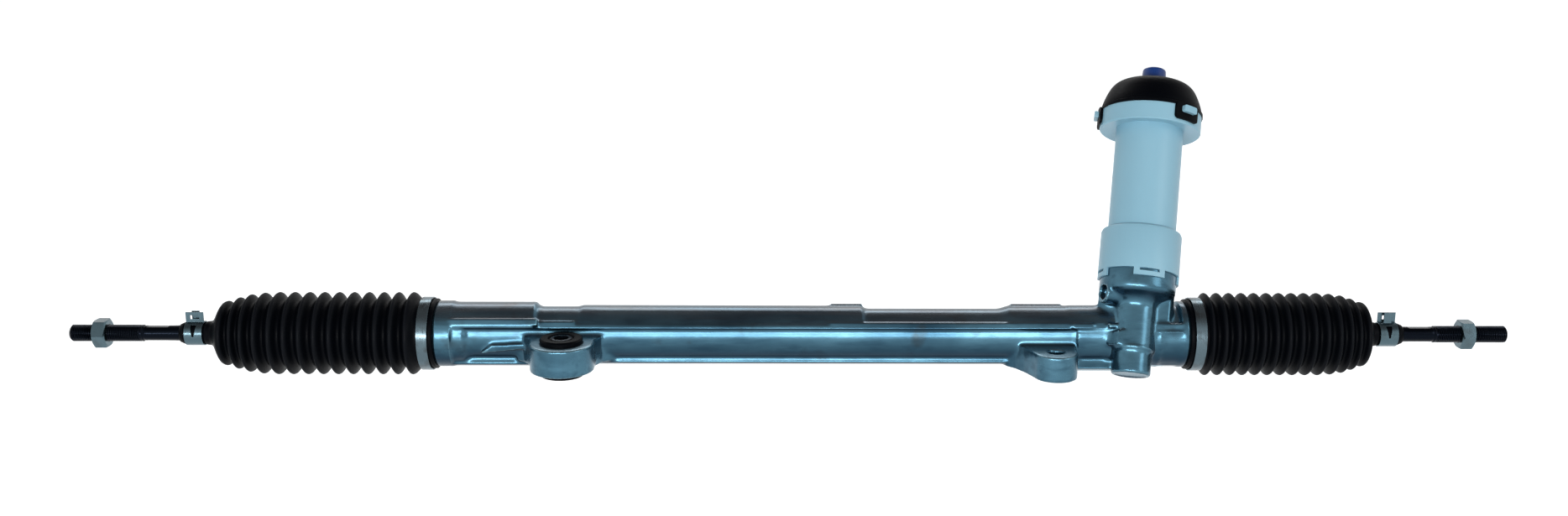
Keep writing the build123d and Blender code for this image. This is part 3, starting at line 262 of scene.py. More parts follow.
@dataclass(frozen=True)
class CastAluminium:
    """Die-cast skin: flow streaks along the tube, oxide clouds, fine grain; painted highlight on the
    edges, with some wear; painted shade on upward faces, with dust streaks; painted shade on downward
    faces.
    """

    name: str = "cast_aluminium"
    dark: Colour = (0.022, 0.062, 0.098)
    light: Colour = (0.078, 0.182, 0.248)
    # painted highlight: bright cyan for the sharp edges, as if they caught the light, with some edge
    # wear
    rubbed: Colour = (0.24, 0.46, 0.55)
    stain: Colour = (0.030, 0.040, 0.045)
    # painted shade: a darker brown-grey for faces that point up, mixed with dust
    film: Colour = (0.120, 0.102, 0.096)
    # painted shade: dark navy for faces that point down
    grime: Colour = (0.006, 0.024, 0.046)
    grain_depth: float = 0.000009
    wave_depth: float = 0.00007

    def build(self) -> Material:
        """Builds the finish.

        Returns:
            The material.
        """
        s = Shader(self.name)
        clouds = s.noise(26, 6, (0.5, 1, 1))
        streaks = s.noise(85, 5, (0.10, 1.0, 1.0))
        body = add_ramp(s.tree, clouds, ((0.30, self.dark), (0.70, self.light)))
        body = s.mix(s.levels(streaks, 0.0, 0.60, 0.48, 0.66), body, self.light)
        body = s.mix(s.levels(s.noise(150, 6, (0.25, 1, 1)), 0.0, 0.55, 0.52, 0.72), body, self.dark)
        body = s.mix(s.levels(s.noise(38, 3), 0.0, 0.6, 0.60, 0.74), body, self.stain)
        geometry = s.node("NewGeometry")
        up = s.node("SeparateXYZ", {0: geometry.outputs["Normal"]}).outputs["Z"]
        # painted shade with dust: faces that point up are painted darker, in streaks
        top_shade_and_dust_mask = s.node("Math", {0: s.levels(up, 0.0, 0.8, 0.55, 0.98),
                                 1: s.levels(streaks, 0.35, 1.0)}, operation="MULTIPLY")
        body = s.mix(top_shade_and_dust_mask.outputs[0], body, self.film)
        # painted shade: faces that point down are painted dark navy
        body = s.mix(s.levels(up, 0.85, 0.0, -0.58, 0.02), body, self.grime)
        # painted highlight on the sharp edges, partly edge wear
        edge = s.levels(geometry.outputs["Pointiness"], 0.0, 0.9, 0.515, 0.575)
        return s.finished(s.mix(edge, body, self.rubbed), s.levels(streaks, 0.20, 0.31),
                          [(s.noise(640, 4), self.grain_depth), (s.noise(95, 3), self.wave_depth)],
                          Metallic=0.92, Specular_IOR_Level=0.5)


@dataclass(frozen=True)
class MachinedAluminium:
    """Faces cut after casting: brighter, with fine rings of tool marks."""

    name: str = "machined_aluminium"
    colour: Colour = (0.17, 0.27, 0.33)
    centre: Place = (0.198, 0.0, 0.0)
    rings: float = 900.0
    ring_depth: float = 0.00002

    def build(self) -> Material:
        """Builds the finish.

        Returns:
            The material.
        """
        s = Shader(self.name)
        place = s.node("Mapping", {"Vector": s.coords, "Location": tuple(-c for c in self.centre)})
        wave = s.node("TexWave", {"Vector": place.outputs[0], "Scale": self.rings,
                                  "Distortion": 1.2, "Detail": 2.0},
                      wave_type="RINGS", rings_direction="Z").outputs["Fac"]
        tone = s.levels(s.noise(60, 4), 0.0, 0.4)
        return s.finished(s.mix(tone, self.colour, shaded(self.colour, 0.7)),
                          s.levels(wave, 0.26, 0.40, 0.0, 1.0), [(wave, self.ring_depth)],
                          Metallic=0.95)


@dataclass(frozen=True)
class MouldedRubber:
    """Black rubber with faint pale patches at random, and a painted highlight along its crests, with a
    little wear.
    """

    name: str = "black_rubber"
    colour: Colour = (0.0006, 0.0011, 0.0022)
    # colour of the faint pale patches, and the painted highlight colour along the crests
    bloom: Colour = (0.0052, 0.0062, 0.0084)
    rough: float = 0.42
    crest_attribute: str = ""
    grain_depth: float = 0.00003
    wave_depth: float = 0.00006

    def build(self) -> Material:
        """Builds the finish.

        Returns:
            The material.
        """
        s = Shader(self.name)
        grain = s.noise(900, 3)
        dust = s.levels(s.noise(45, 5), 0.0, 0.30, 0.45, 0.8)
        body = s.mix(dust, self.colour, shaded(self.bloom, 0.45))
        if self.crest_attribute:
            # painted highlight: the crests are painted lighter, as lit ridges, with a little wear
            crest = s.node("Attribute", attribute_name=self.crest_attribute).outputs["Fac"]
            worn = s.node("Math", {0: crest, 1: s.levels(s.noise(70, 3), 0.7, 1.0)},
                          operation="MULTIPLY")
            body = s.mix(worn.outputs[0], body, self.bloom)
        return s.finished(body, s.levels(grain, self.rough - 0.06, self.rough + 0.1),
                          [(grain, self.grain_depth), (s.noise(160, 2), self.wave_depth)],
                          Specular_IOR_Level=0.04)


@dataclass(frozen=True)
class PlatedSteel:
    """Bright zinc on rolled steel, drawn out along one axis, with straw-coloured patches."""

    name: str = "zinc_steel"
    colour: Colour = (0.085, 0.135, 0.160)
    straw: Colour = (0.040, 0.034, 0.030)
    straw_share: float = 0.35
    rough: float = 0.20
    stretch: Place = (1.0, 0.12, 0.12)
    line_depth: float = 0.00001
    dent_depth: float = 0.00002

    def build(self) -> Material:
        """Builds the finish.

        Returns:
            The material.
        """
        s = Shader(self.name)
        lines = s.noise(1500, 3, self.stretch)
        patches = s.levels(s.noise(90, 3), 0.0, self.straw_share, 0.5, 0.75)
        return s.finished(s.mix(patches, self.colour, self.straw),
                          s.levels(lines, self.rough - 0.06, self.rough + 0.12),
                          [(lines, self.line_depth), (s.noise(300, 2), self.dent_depth)],
                          Metallic=0.95)


@dataclass(frozen=True)
class BlackSteel:
    """Phosphated and oiled black steel, rubbed to bare metal along edges."""

    name: str = "black_steel"
    colour: Colour = (0.0013, 0.0032, 0.0072)
    worn: Colour = (0.024, 0.032, 0.045)
    rough: float = 0.16
    grain_depth: float = 0.00002

    def build(self) -> Material:
        """Builds the finish.

        Returns:
            The material.
        """
        s = Shader(self.name)
        patches = s.levels(s.noise(55, 5, (0.4, 1, 1)), 0.0, 0.4, 0.5, 0.8)
        edge = s.levels(s.node("NewGeometry").outputs["Pointiness"], 0.0, 0.7, 0.53, 0.62)
        body = s.mix(patches, self.colour, shaded(self.colour, 1.9))
        grain = s.noise(800, 3)
        return s.finished(s.mix(edge, body, self.worn),
                          s.levels(grain, self.rough - 0.05, self.rough + 0.12),
                          [(grain, self.grain_depth)], Metallic=0.85, Specular_IOR_Level=0.30)


@dataclass(frozen=True)
class MouldedPlastic:
    """Injection-moulded plastic: soft sheen, faint flow marks and a fine eroded texture."""

    name: str = "white_plastic"
    colour: Colour = (0.275, 0.500, 0.615)
    shade: Colour = (0.235, 0.445, 0.560)
    rough: float = 0.36
    glow: float = 0.0
    glow_reach: Place = (0.002, 0.003, 0.003)
    grain_depth: float = 0.000012
    wave_depth: float = 0.00012

    def build(self) -> Material:
        """Builds the finish.

        Returns:
            The material.
        """
        s = Shader(self.name)
        flow = s.levels(s.noise(14, 4, (1, 1, 0.35)), 0.0, 0.6, 0.35, 0.75)
        grain = s.noise(1400, 2)
        return s.finished(s.mix(flow, self.colour, self.shade),
                          s.levels(grain, self.rough - 0.04, self.rough + 0.10),
                          [(grain, self.grain_depth), (s.noise(40, 2), self.wave_depth)],
                          Specular_IOR_Level=0.45, Subsurface_Weight=self.glow,
                          Subsurface_Radius=self.glow_reach)


@dataclass(frozen=True)
class GroundSteel:
    """Ground or drawn steel inside the gear, with grinding lines round each piece."""

    name: str = "ground_steel"
    colour: Colour = (0.45, 0.47, 0.49)
    rough: float = 0.24
    line_depth: float = 0.000008

    def build(self) -> Material:
        """Builds the finish.

        Returns:
            The material.
        """
        s = Shader(self.name)
        lines = s.noise(1800, 2, (1.0, 0.08, 0.08))
        oil = s.levels(s.noise(70, 4), 0.0, 0.35, 0.4, 0.8)
        return s.finished(s.mix(oil, self.colour, shaded(self.colour, 0.6)),
                          s.levels(lines, self.rough - 0.05, self.rough + 0.12),
                          [(lines, self.line_depth)], Metallic=1.0)


def once(finish: CastAluminium | MachinedAluminium | MouldedRubber | PlatedSteel | BlackSteel
         | MouldedPlastic | GroundSteel) -> Material:
    """A dataclass field that holds the finish's material, built with its owner."""
    return field(default_factory=finish.build)


@dataclass
class Finishes:
    """All the materials of the gear, each made once."""

    cast: Material = once(CastAluminium())
    machined: Material = once(MachinedAluminium())
    rubber: Material = once(MouldedRubber())
    boot: Material = once(MouldedRubber("boot_rubber", rough=0.40, crest_attribute=CREST))
    zinc: Material = once(PlatedSteel())
    band: Material = once(PlatedSteel("band_steel", (0.105, 0.150, 0.175), straw_share=0.7))
    black: Material = once(BlackSteel())
    white: Material = once(MouldedPlastic(glow=0.12))
    blue: Material = once(MouldedPlastic("blue_plastic", (0.0, 0.034, 0.19), (0.0, 0.026, 0.15), 0.30))
    natural: Material = once(MouldedPlastic("natural_plastic", (0.62, 0.55, 0.40),
                                            (0.55, 0.47, 0.33), 0.45))
    steel: Material = once(GroundSteel())
    bearing: Material = once(GroundSteel("bearing_steel", (0.58, 0.60, 0.62), 0.14))
    yoke: Material = once(GroundSteel("yoke_alloy", (0.50, 0.52, 0.53), 0.32))


# --- mesh helpers
def linked(name: str, bm: BMesh) -> Object:
    """Turns a bmesh into an object of the scene, and frees it.

    Args:
        name: The name of the object and of its mesh.
        bm: The shape.

    Returns:
        The new object.
    """
    mesh = bpy.data.meshes.new(name)
    bm.to_mesh(mesh)
    bm.free()
    made = bpy.data.objects.new(name, mesh)
    bpy.context.scene.collection.objects.link(made)
    return made


def finish_object(name: str, bm: BMesh, body: Body, materials: Sequence[Material],
                  nodes: Sequence[str] = (), smooth_angle: float = 40.0,
                  rides: bool = True) -> Object:
    """Turns a bmesh into a dressed piece that rides on a body.

    Args:
        name: The piece's name.
        bm: The shape, in the row frame; it is freed.
        body: The body that it rides on.
        materials: Its materials, in slot order.
        nodes: CAD nodes that it replaces.
        smooth_angle: Edges sharper than this many degrees stay sharp.
        rides: False for a piece that is left on no body.

    Returns:
        The new object.
    """
    bmesh.ops.remove_doubles(bm, verts=bm.verts[:], dist=WELD)
    bmesh.ops.recalc_face_normals(bm, faces=bm.faces[:])
    limit = math.radians(smooth_angle)
    for face in bm.faces:
        face.smooth = True
    for edge in bm.edges:
        edge.smooth = len(edge.link_faces) == 2 and edge.calc_face_angle(0.0) < limit
    made = linked(name, bm)
    for material in materials:
        made.data.materials.append(material)
    if rides:
        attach(made, body.value)
    if nodes:
        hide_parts(*nodes)
    LOG.info("%s: %d faces on %s", name, len(made.data.polygons), body.value)
    return made


def spun(profile: Sequence[tuple[float, float]], place: Matrix, segments: int = 96,
         close: bool = True) -> BMesh:
    """A full turn of a profile about the local X axis.

    Args:
        profile: (along, radius) points, a closed loop when close is true.
        place: Where the local frame stands in the row frame.
        segments: Steps round the axis.
        close: Whether the last point joins the first.

    Returns:
        The turned shape.
    """
    bm = bmesh.new()
    points = [bm.verts.new((x, r, 0.0)) for x, r in profile]
    pairs = list(zip(points, points[1:]))
    if close:
        pairs.append((points[-1], points[0]))
    edges = [bm.edges.new(pair) for pair in pairs]
    bmesh.ops.spin(bm, geom=points + edges, cent=(0, 0, 0), axis=(1, 0, 0), dvec=(0, 0, 0),
                   angle=2 * math.pi, steps=segments, use_merge=True, use_duplicate=False)
    bmesh.ops.remove_doubles(bm, verts=bm.verts[:], dist=FINE_WELD)
    bmesh.ops.transform(bm, matrix=place, verts=bm.verts[:])
    return bm


def node_copy(node: str) -> BMesh:
    """A merged copy of a CAD node's mesh.

    Args:
        node: The node's name.

    Returns:
        The copy, in the row frame.
    """
    bm = bmesh.new()
    bm.from_mesh(frame["nodes"][node].data)
    bmesh.ops.remove_doubles(bm, verts=bm.verts[:], dist=CAD_WELD)
    bmesh.ops.dissolve_degenerate(bm, edges=bm.edges[:], dist=CAD_WELD)
    return bm


def add_bevel(piece: Object, width: float, segments: int = 2, angle: float = 35.0) -> None:
    """Rounds a piece's sharp edges with a live modifier.

    Args:
        piece: The piece.
        width: The bevel's width.
        segments: Its steps.
        angle: Edges sharper than this many degrees are rounded.
    """
    bevel = piece.modifiers.new("edge_rounding", "BEVEL")
    bevel.width = width
    bevel.segments = segments
    bevel.limit_method = "ANGLE"
    bevel.angle_limit = math.radians(angle)
    bevel.harden_normals = True
    bevel.use_clamp_overlap = True


def dressed_copy(name: str, node: str, body: Body, material: Material,
                 width: float, segments: int = 3, smooth_angle: float = 32.0) -> None:
    """Makes a piece of a solid's own shape, with its edges rounded to a width in some segments."""
    piece = finish_object(name, node_copy(node), body, [material], [node], smooth_angle)
    add_bevel(piece, width, segments)


def middle(node: str) -> Vector:
    """The middle of a CAD node's box."""
    low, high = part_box(node)
    return (low + high) / 2


@dataclass
class RackLine:
    """The rack's axis and both ball centres, read from the frame."""

    axis_y: float = field(default_factory=lambda: middle("rack_bar").y)
    axis_z: float = field(default_factory=lambda: middle("rack_bar").z)

    def ball(self, side: Side) -> float:
        """The ball centre's place along X, from the tie rod's joint."""
        wanted = f"{side.word}_tie_rod_swing"
        return next(j["pos_m"][0] for j in frame["joints"] if j["name"] == wanted)

    def outward(self, side: Side) -> Matrix:
        """The frame at a ball centre whose X points outward and whose Z points up."""
        turn = Matrix.Rotation(math.pi, 4, "Z") if side is Side.LEFT else Matrix.Identity(4)
        return Matrix.Translation((self.ball(side), self.axis_y, self.axis_z)) @ turn


# --- housing
@dataclass
class Housing:
    """The die-cast housing: the solid remeshed with the soft fillets of a casting."""

    finishes: Finishes
    voxel: float = 0.00078
    polish_rounds: int = 3
    polish_step: float = 0.5
    fillet_rounds: int = 26
    fillet_step: float = 0.6
    rounds_per_normal: int = 4
    last_rounds: int = 2
    last_step: float = 0.4
    face_limit: int = 190_000
    lug_back: float = 0.022       # the lugs lie in front of this
    level: float = 0.96           # a face is flat where its normal's Z is at least this
    lug_under: float = 0.012      # the lugs' lower faces lie under this
    foot_level: float = 0.8
    foot_top: float = 0.003
    foot_reach: float = 0.04      # how far the tower's foot reaches from the needle bearing

    def build(self) -> None:
        """Makes the casting."""
        source = node_copy("rack_housing")
        bmesh.ops.recalc_face_normals(source, faces=source.faces[:])
        rough = linked("casting_source", source)
        remesh = rough.modifiers.new("skin", "REMESH")
        remesh.mode = "VOXEL"
        remesh.voxel_size = self.voxel
        soft = self.evaluated(rough)
        self.grow_fillets(soft)
        rough.modifiers.clear()
        rough.data = soft
        thin = rough.modifiers.new("thin", "DECIMATE")
        triangles = sum(len(p.vertices) - 2 for p in soft.polygons)
        thin.ratio = min(1.0, self.face_limit / triangles)
        final = self.evaluated(rough)
        bpy.data.objects.remove(rough)
        bm = bmesh.new()
        bm.from_mesh(final)
        self.mark_machined(bm)
        finish_object("cast_housing", bm, Body.HOUSING, [self.finishes.cast, self.finishes.machined],
                      ["rack_housing"], smooth_angle=70)
        LOG.info("casting: %d triangles before thinning", triangles)

    @staticmethod
    def evaluated(source: Object) -> Mesh:
        """The mesh that an object's modifiers give."""
        graph = bpy.context.evaluated_depsgraph_get()
        return bpy.data.meshes.new_from_object(source.evaluated_get(graph))

    def grow_fillets(self, mesh: Mesh) -> None:
        """Fills inner corners with soft fillets and takes the voxel steps off the rest.

        Args:
            mesh: The remeshed casting, changed in place.
        """
        count = len(mesh.vertices)
        places = np.empty(count * 3)
        mesh.vertices.foreach_get("co", places)
        places = places.reshape(-1, 3)
        ends = np.empty(len(mesh.edges) * 2, dtype=np.int64)
        mesh.edges.foreach_get("vertices", ends)
        a, b = ends[0::2], ends[1::2]
        degree = np.bincount(a, minlength=count) + np.bincount(b, minlength=count)
        normals = np.empty(count * 3)
        for _ in range(self.polish_rounds):
            places += self.polish_step * self.pull(places, a, b, degree)
        for round_number in range(self.fillet_rounds):
            if round_number % self.rounds_per_normal == 0:
                mesh.vertices.foreach_set("co", places.ravel())
                mesh.update()
                mesh.vertices.foreach_get("normal", normals)
                up = normals.reshape(-1, 3)
            lift = np.einsum("ij,ij->i", self.pull(places, a, b, degree), up)
            places += up * (self.fillet_step * np.clip(lift, 0.0, None))[:, None]
        for _ in range(self.last_rounds):
            places += self.last_step * self.pull(places, a, b, degree)
        mesh.vertices.foreach_set("co", places.ravel())
        mesh.update()

    @staticmethod
    def pull(places: np.ndarray, a: np.ndarray, b: np.ndarray, degree: np.ndarray) -> np.ndarray:
        """How far each point lies from the mean of its neighbours.

        Args:
            places: The points.
            a: The first point of each edge.
            b: The second point of each edge.
            degree: How many edges meet at each point.

        Returns:
            The way from each point to that mean.
        """
        total = np.empty_like(places)
        for k in range(3):
            column = places[:, k]
            total[:, k] = (np.bincount(a, column[b], len(places))
                           + np.bincount(b, column[a], len(places)))
        return total / np.maximum(degree, 1)[:, None] - places

    def mark_machined(self, bm: BMesh) -> None:
        """Gives the faces cut after casting their own material.

        Args:
            bm: The casting.
        """
        sleeve_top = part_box("mount_bush")[1].z
        foot_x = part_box("needle_bearing")[0].x
        for face in bm.faces:
            centre, up = face.calc_center_median(), face.normal.z
            on_lug = centre.y < self.lug_back and up > self.level and 0.0 < centre.z < sleeve_top
            under_lug = (centre.y < self.lug_back and up < -self.level
                         and centre.z < self.lug_under)
            foot = (up < -self.foot_level and abs(centre.x - foot_x) < self.foot_reach
                    and centre.z < self.foot_top)
            face.material_index = 1 if on_lug or under_lug or foot else 0


# --- boots
@dataclass(frozen=True)
class BootFit:
    """What differs between the two boots.

    first_gap runs from the band to the first ridge and last_gap from the last ridge to the clip;
    split_ridge is the ridge after which the boot is split; valley_depth is a full valley's depth.
    """

    first_gap: float
    last_gap: float
    split_ridge: int
    valley_depth: float


BOOT_FITS = {Side.LEFT: BootFit(0.0082, 0.019, 9, 0.0062),
             Side.RIGHT: BootFit(0.0046, 0.0145, 8, 0.0056)}


@dataclass
class Boot:
    """One corrugated boot, drawn outward from the ball centre and split across both joints.

    An outline is a list of (distance outward, radius, crest share) points.
    """

    side: Side
    line: RackLine
    finishes: Finishes
    ridges: int = 14
    crest_radius: float = 0.0342
    end_shares: tuple[float, ...] = (0.9, 0.78, 0.78)
    end_drops: tuple[float, ...] = (0.0006, 0.0020, 0.0045, 0.0074)
    full_pitch: float = 0.011     # ridges closer than this have shallower valleys
    sharpness: float = 1.15
    lip: float = 0.0290
    neck: float = 0.0088
    crown: float = 0.0012         # the rounded top of the last ridge
    skin: float = 0.0016
    rod_bore: float = 0.0073
    seat_bore: float = 0.02575
    bell_reach: float = 0.0036    # how far past the band the housing's end holds the boot
    samples: int = 14
    rise_steps: int = 7
    fall_steps: int = 11
    segments: int = 112
    seat_blend: float = 0.004     # a place this far inside the band, worked out in build but not used
    joint_gap: float = 0.002
    clip_gap: float = 0.006

    def __post_init__(self) -> None:
        """Reads the boot's ends, its clip and its band from the frame."""
        word = self.side.word
        self.fit = BOOT_FITS[self.side]
        self.mouth, self.tip = self.span(f"{word}_boot")
        self.clip_in, self.clip_out = self.span(f"{word}_boot_clip")
        self.band_in, self.band_out = self.span(f"{word}_boot_band")
        self.first = self.band_out + self.fit.first_gap
        self.last = self.clip_in - self.fit.last_gap

    def span(self, node: str) -> tuple[float, float]:
        """Where a node starts and ends.

        Args:
            node: The node's name.

        Returns:
            Both ends, as distances outward from the ball centre.
        """
        ball = self.line.ball(self.side)
        near, far = sorted((corner.x - ball) * self.side.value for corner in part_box(node))
        return near, far

    def crest_places(self) -> list[float]:
        """Finds where the ridges stand.

        Returns:
            Their distances outward, from the large end on.
        """
        shares = [1.0] * (self.ridges - 1 - len(self.end_shares)) + list(self.end_shares)
        pitch = (self.last - self.first) / sum(shares)
        return [self.first + pitch * sum(shares[:k]) for k in range(self.ridges)]

    def crest_radii(self) -> list[float]:
        """How far each ridge stands from the axis."""
        drops = [0.0] * (self.ridges - len(self.end_drops)) + list(self.end_drops)
        return [self.crest_radius - drop for drop in drops]

    def mouth_line(self) -> Outline:
        """Draws the lip, the seat of the band and the rise to the first ridge.

        Returns:
            That part of the outline.
        """
        lip, foot = self.lip, self.band_out + 0.0008
        line = [(self.mouth, lip - 0.0006, 0), (self.mouth + 0.0004, lip, 0),
                (self.band_in - 0.0006, lip, 0), (self.band_in, lip - 0.0002, 0),
                (self.band_out, lip - 0.0002, 0), (foot, lip + 0.0004, 0)]
        rise = self.crest_places()[0] - self.band_out - 0.0008
        for k in range(1, self.rise_steps):
            share = k / self.rise_steps
            swell = 0.5 - 0.5 * math.cos(math.pi * share)
            line.append((foot + rise * share, lip + (self.crest_radii()[0] - lip) * swell,
                         share ** 4))
        return line

    def ridge_line(self) -> Outline:
        """Draws the ridges and the valleys between them.

        Returns:
            That part of the outline.
        """
        places, radii, line = self.crest_places(), self.crest_radii(), []
        for k in range(self.ridges - 1):
            x0, x1, r0, r1 = places[k], places[k + 1], radii[k], radii[k + 1]
            depth = self.fit.valley_depth * min(1.0, (x1 - x0) / self.full_pitch)
            for j in range(self.samples):
                phase = j / self.samples
                wave = (0.5 + 0.5 * math.cos(2 * math.pi * phase)) ** self.sharpness
                ridge = r0 + (r1 - r0) * phase
                line.append((x0 + (x1 - x0) * phase, ridge - depth * (1 - wave),
                             max(0.0, wave * 1.35 - 0.35) ** 3))
        return line

    def nose_line(self) -> Outline:
        """Draws the last ridge, the shoulder under it, and the neck with the clip's seat.

        Returns:
            That part of the outline.
        """
        last, radius, neck = self.crest_places()[-1], self.crest_radii()[-1], self.neck
        line = [(last, radius, 1.0), (last + self.crown, radius - 0.0003, 0.2)]
        shoulder = self.clip_in - 0.0045 - last - self.crown
        for k in range(1, self.fall_steps):
            share = k / self.fall_steps
            fall = 0.5 - 0.5 * math.cos(math.pi * share ** 0.85)
            line.append((last + self.crown + shoulder * share,
                         radius - 0.0003 - (radius - neck - 0.0014) * fall, 0))
        return line + [
            (self.clip_in - 0.0040, neck + 0.0012, 0.1), (self.clip_in - 0.0022, neck + 0.0010, 0.1),
            (self.clip_in - 0.0006, neck, 0), (self.clip_out + 0.0006, neck, 0),
            (self.clip_out + 0.0011, neck + 0.0004, 0), (self.clip_out + 0.0020, neck + 0.0002, 0.1),
            (self.tip - 0.0012, neck - 0.0006, 0), (self.tip, neck - 0.0011, 0)]

    def outside(self) -> Outline:
        """The outer line, from the mouth to the tip."""
        return self.mouth_line() + self.ridge_line() + self.nose_line()

    def inside(self, outer: Outline) -> Outline:
        """Draws the inner line, one skin's thickness in.

        Args:
            outer: The outer line.

        Returns:
            The inner line, back from the tip to the mouth.
        """
        line = []
        for along, radius, _ in outer:
            if along < self.band_out + self.bell_reach:
                inner = self.seat_bore
            elif along > self.clip_in - 0.004:
                inner = self.rod_bore
            else:
                inner = max(self.rod_bore, radius - self.skin)
            line.append((along, inner, 0.0))
        return line[::-1]

    def piece(self, name: str, start: float, end: float) -> Object:
        """The closed shell between two cuts.

        Args:
            name: The piece's name.
            start: The cut nearest the housing.
            end: The cut nearest the tie rod's tip.

        Returns:
            The piece, riding on no body.
        """
        outer = [p for p in self.outside() if start - FINE_WELD <= p[0] <= end + FINE_WELD]
        bm = bmesh.new()
        layer = bm.verts.layers.float.new(CREST)
        points = []
        for (along, radius, crest) in outer + self.inside(outer):
            vertex = bm.verts.new((along, radius, 0.0))
            vertex[layer] = crest
            points.append(vertex)
        edges = [bm.edges.new((points[k], points[(k + 1) % len(points)])) for k in range(len(points))]
        bmesh.ops.spin(bm, geom=points + edges, cent=(0, 0, 0), axis=(1, 0, 0), dvec=(0, 0, 0),
                       angle=2 * math.pi, steps=self.segments, use_merge=True, use_duplicate=False)
        bmesh.ops.transform(bm, matrix=self.line.outward(self.side), verts=bm.verts[:])
        return finish_object(name, bm, Body.HOUSING, [self.finishes.boot],
                             [f"{self.side.word}_boot"], smooth_angle=75, rides=False)

    def at(self, distance: float) -> Place:
        """The point of the axis that far outward, in the row frame."""
        return tuple(self.line.outward(self.side) @ Vector((distance, 0, 0)))

    def build(self) -> None:
        """Makes the two pieces of the boot; the places at the band, the cut and the clip are worked
        out but not used.
        """
        places, ridge = self.crest_places(), self.fit.split_ridge
        valley = (places[ridge] + places[ridge + 1]) / 2
        cut = min(self.outside(), key=lambda p: abs(p[0] - valley))[0]
        word = self.side.word
        sleeve = self.piece(f"{word}_boot_body", self.mouth, cut)
        nose = self.piece(f"{word}_boot_nose", cut, self.tip)
        self.at(self.band_out - self.seat_blend)
        self.at(cut)
        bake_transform(sleeve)
        self.at(cut + self.joint_gap)
        self.at(self.clip_in - self.clip_gap)
        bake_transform(nose)


# --- tie rods
def hex_nut(node: str, line: RackLine, chamfer: float = 0.0011, mouth: float = 0.0007,
            face_share: float = 0.955, steps: int = 96) -> BMesh:
    """A hexagon nut, turned with both chamfers and then cut to its six flats.

    Args:
        node: The CAD nut, which gives the ends, the bore, the corners and how they stand.
        line: The rack's line, on which the nut sits.
        chamfer: How far the end chamfers run in from each face.
        mouth: The countersink at each end of the bore.
        face_share: The radius of the round end faces, over that of the flats.
        steps: Steps round the axis.

    Returns:
        The nut, in the row frame.
    """
    low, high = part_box(node)
    start = Vector((low.x, line.axis_y, line.axis_z))
    spots = []
    for vertex in frame["nodes"][node].data.vertices:
        y, z = vertex.co.y - line.axis_y, vertex.co.z - line.axis_z
        spots.append((math.hypot(y, z), math.atan2(z, y)))
    corner, corner_turn = max(spots)
    bore = min(spots)[0]
    flat = corner * math.cos(math.pi / 6)
    long = high.x - low.x
    ease = flat * face_share
    profile = [(0, bore + mouth), (0, ease), (chamfer, corner), (long - chamfer, corner), (long, ease),
               (long, bore + mouth), (long - mouth, bore), (mouth, bore)]
    bm = spun(profile, Matrix.Translation(start), steps)
    for k in range(6):
        turn = corner_turn + math.pi / 6 + k * math.pi / 3
        normal = Vector((0, math.cos(turn), math.sin(turn)))
        cut = bmesh.ops.bisect_plane(bm, geom=bm.verts[:] + bm.edges[:] + bm.faces[:], dist=FINE_WELD,
                                     plane_co=start + normal * flat, plane_no=normal,
                                     clear_outer=True)
        rim = [item for item in cut["geom_cut"] if isinstance(item, BMEdge)]
        bmesh.ops.contextual_create(bm, geom=rim)
    return bm


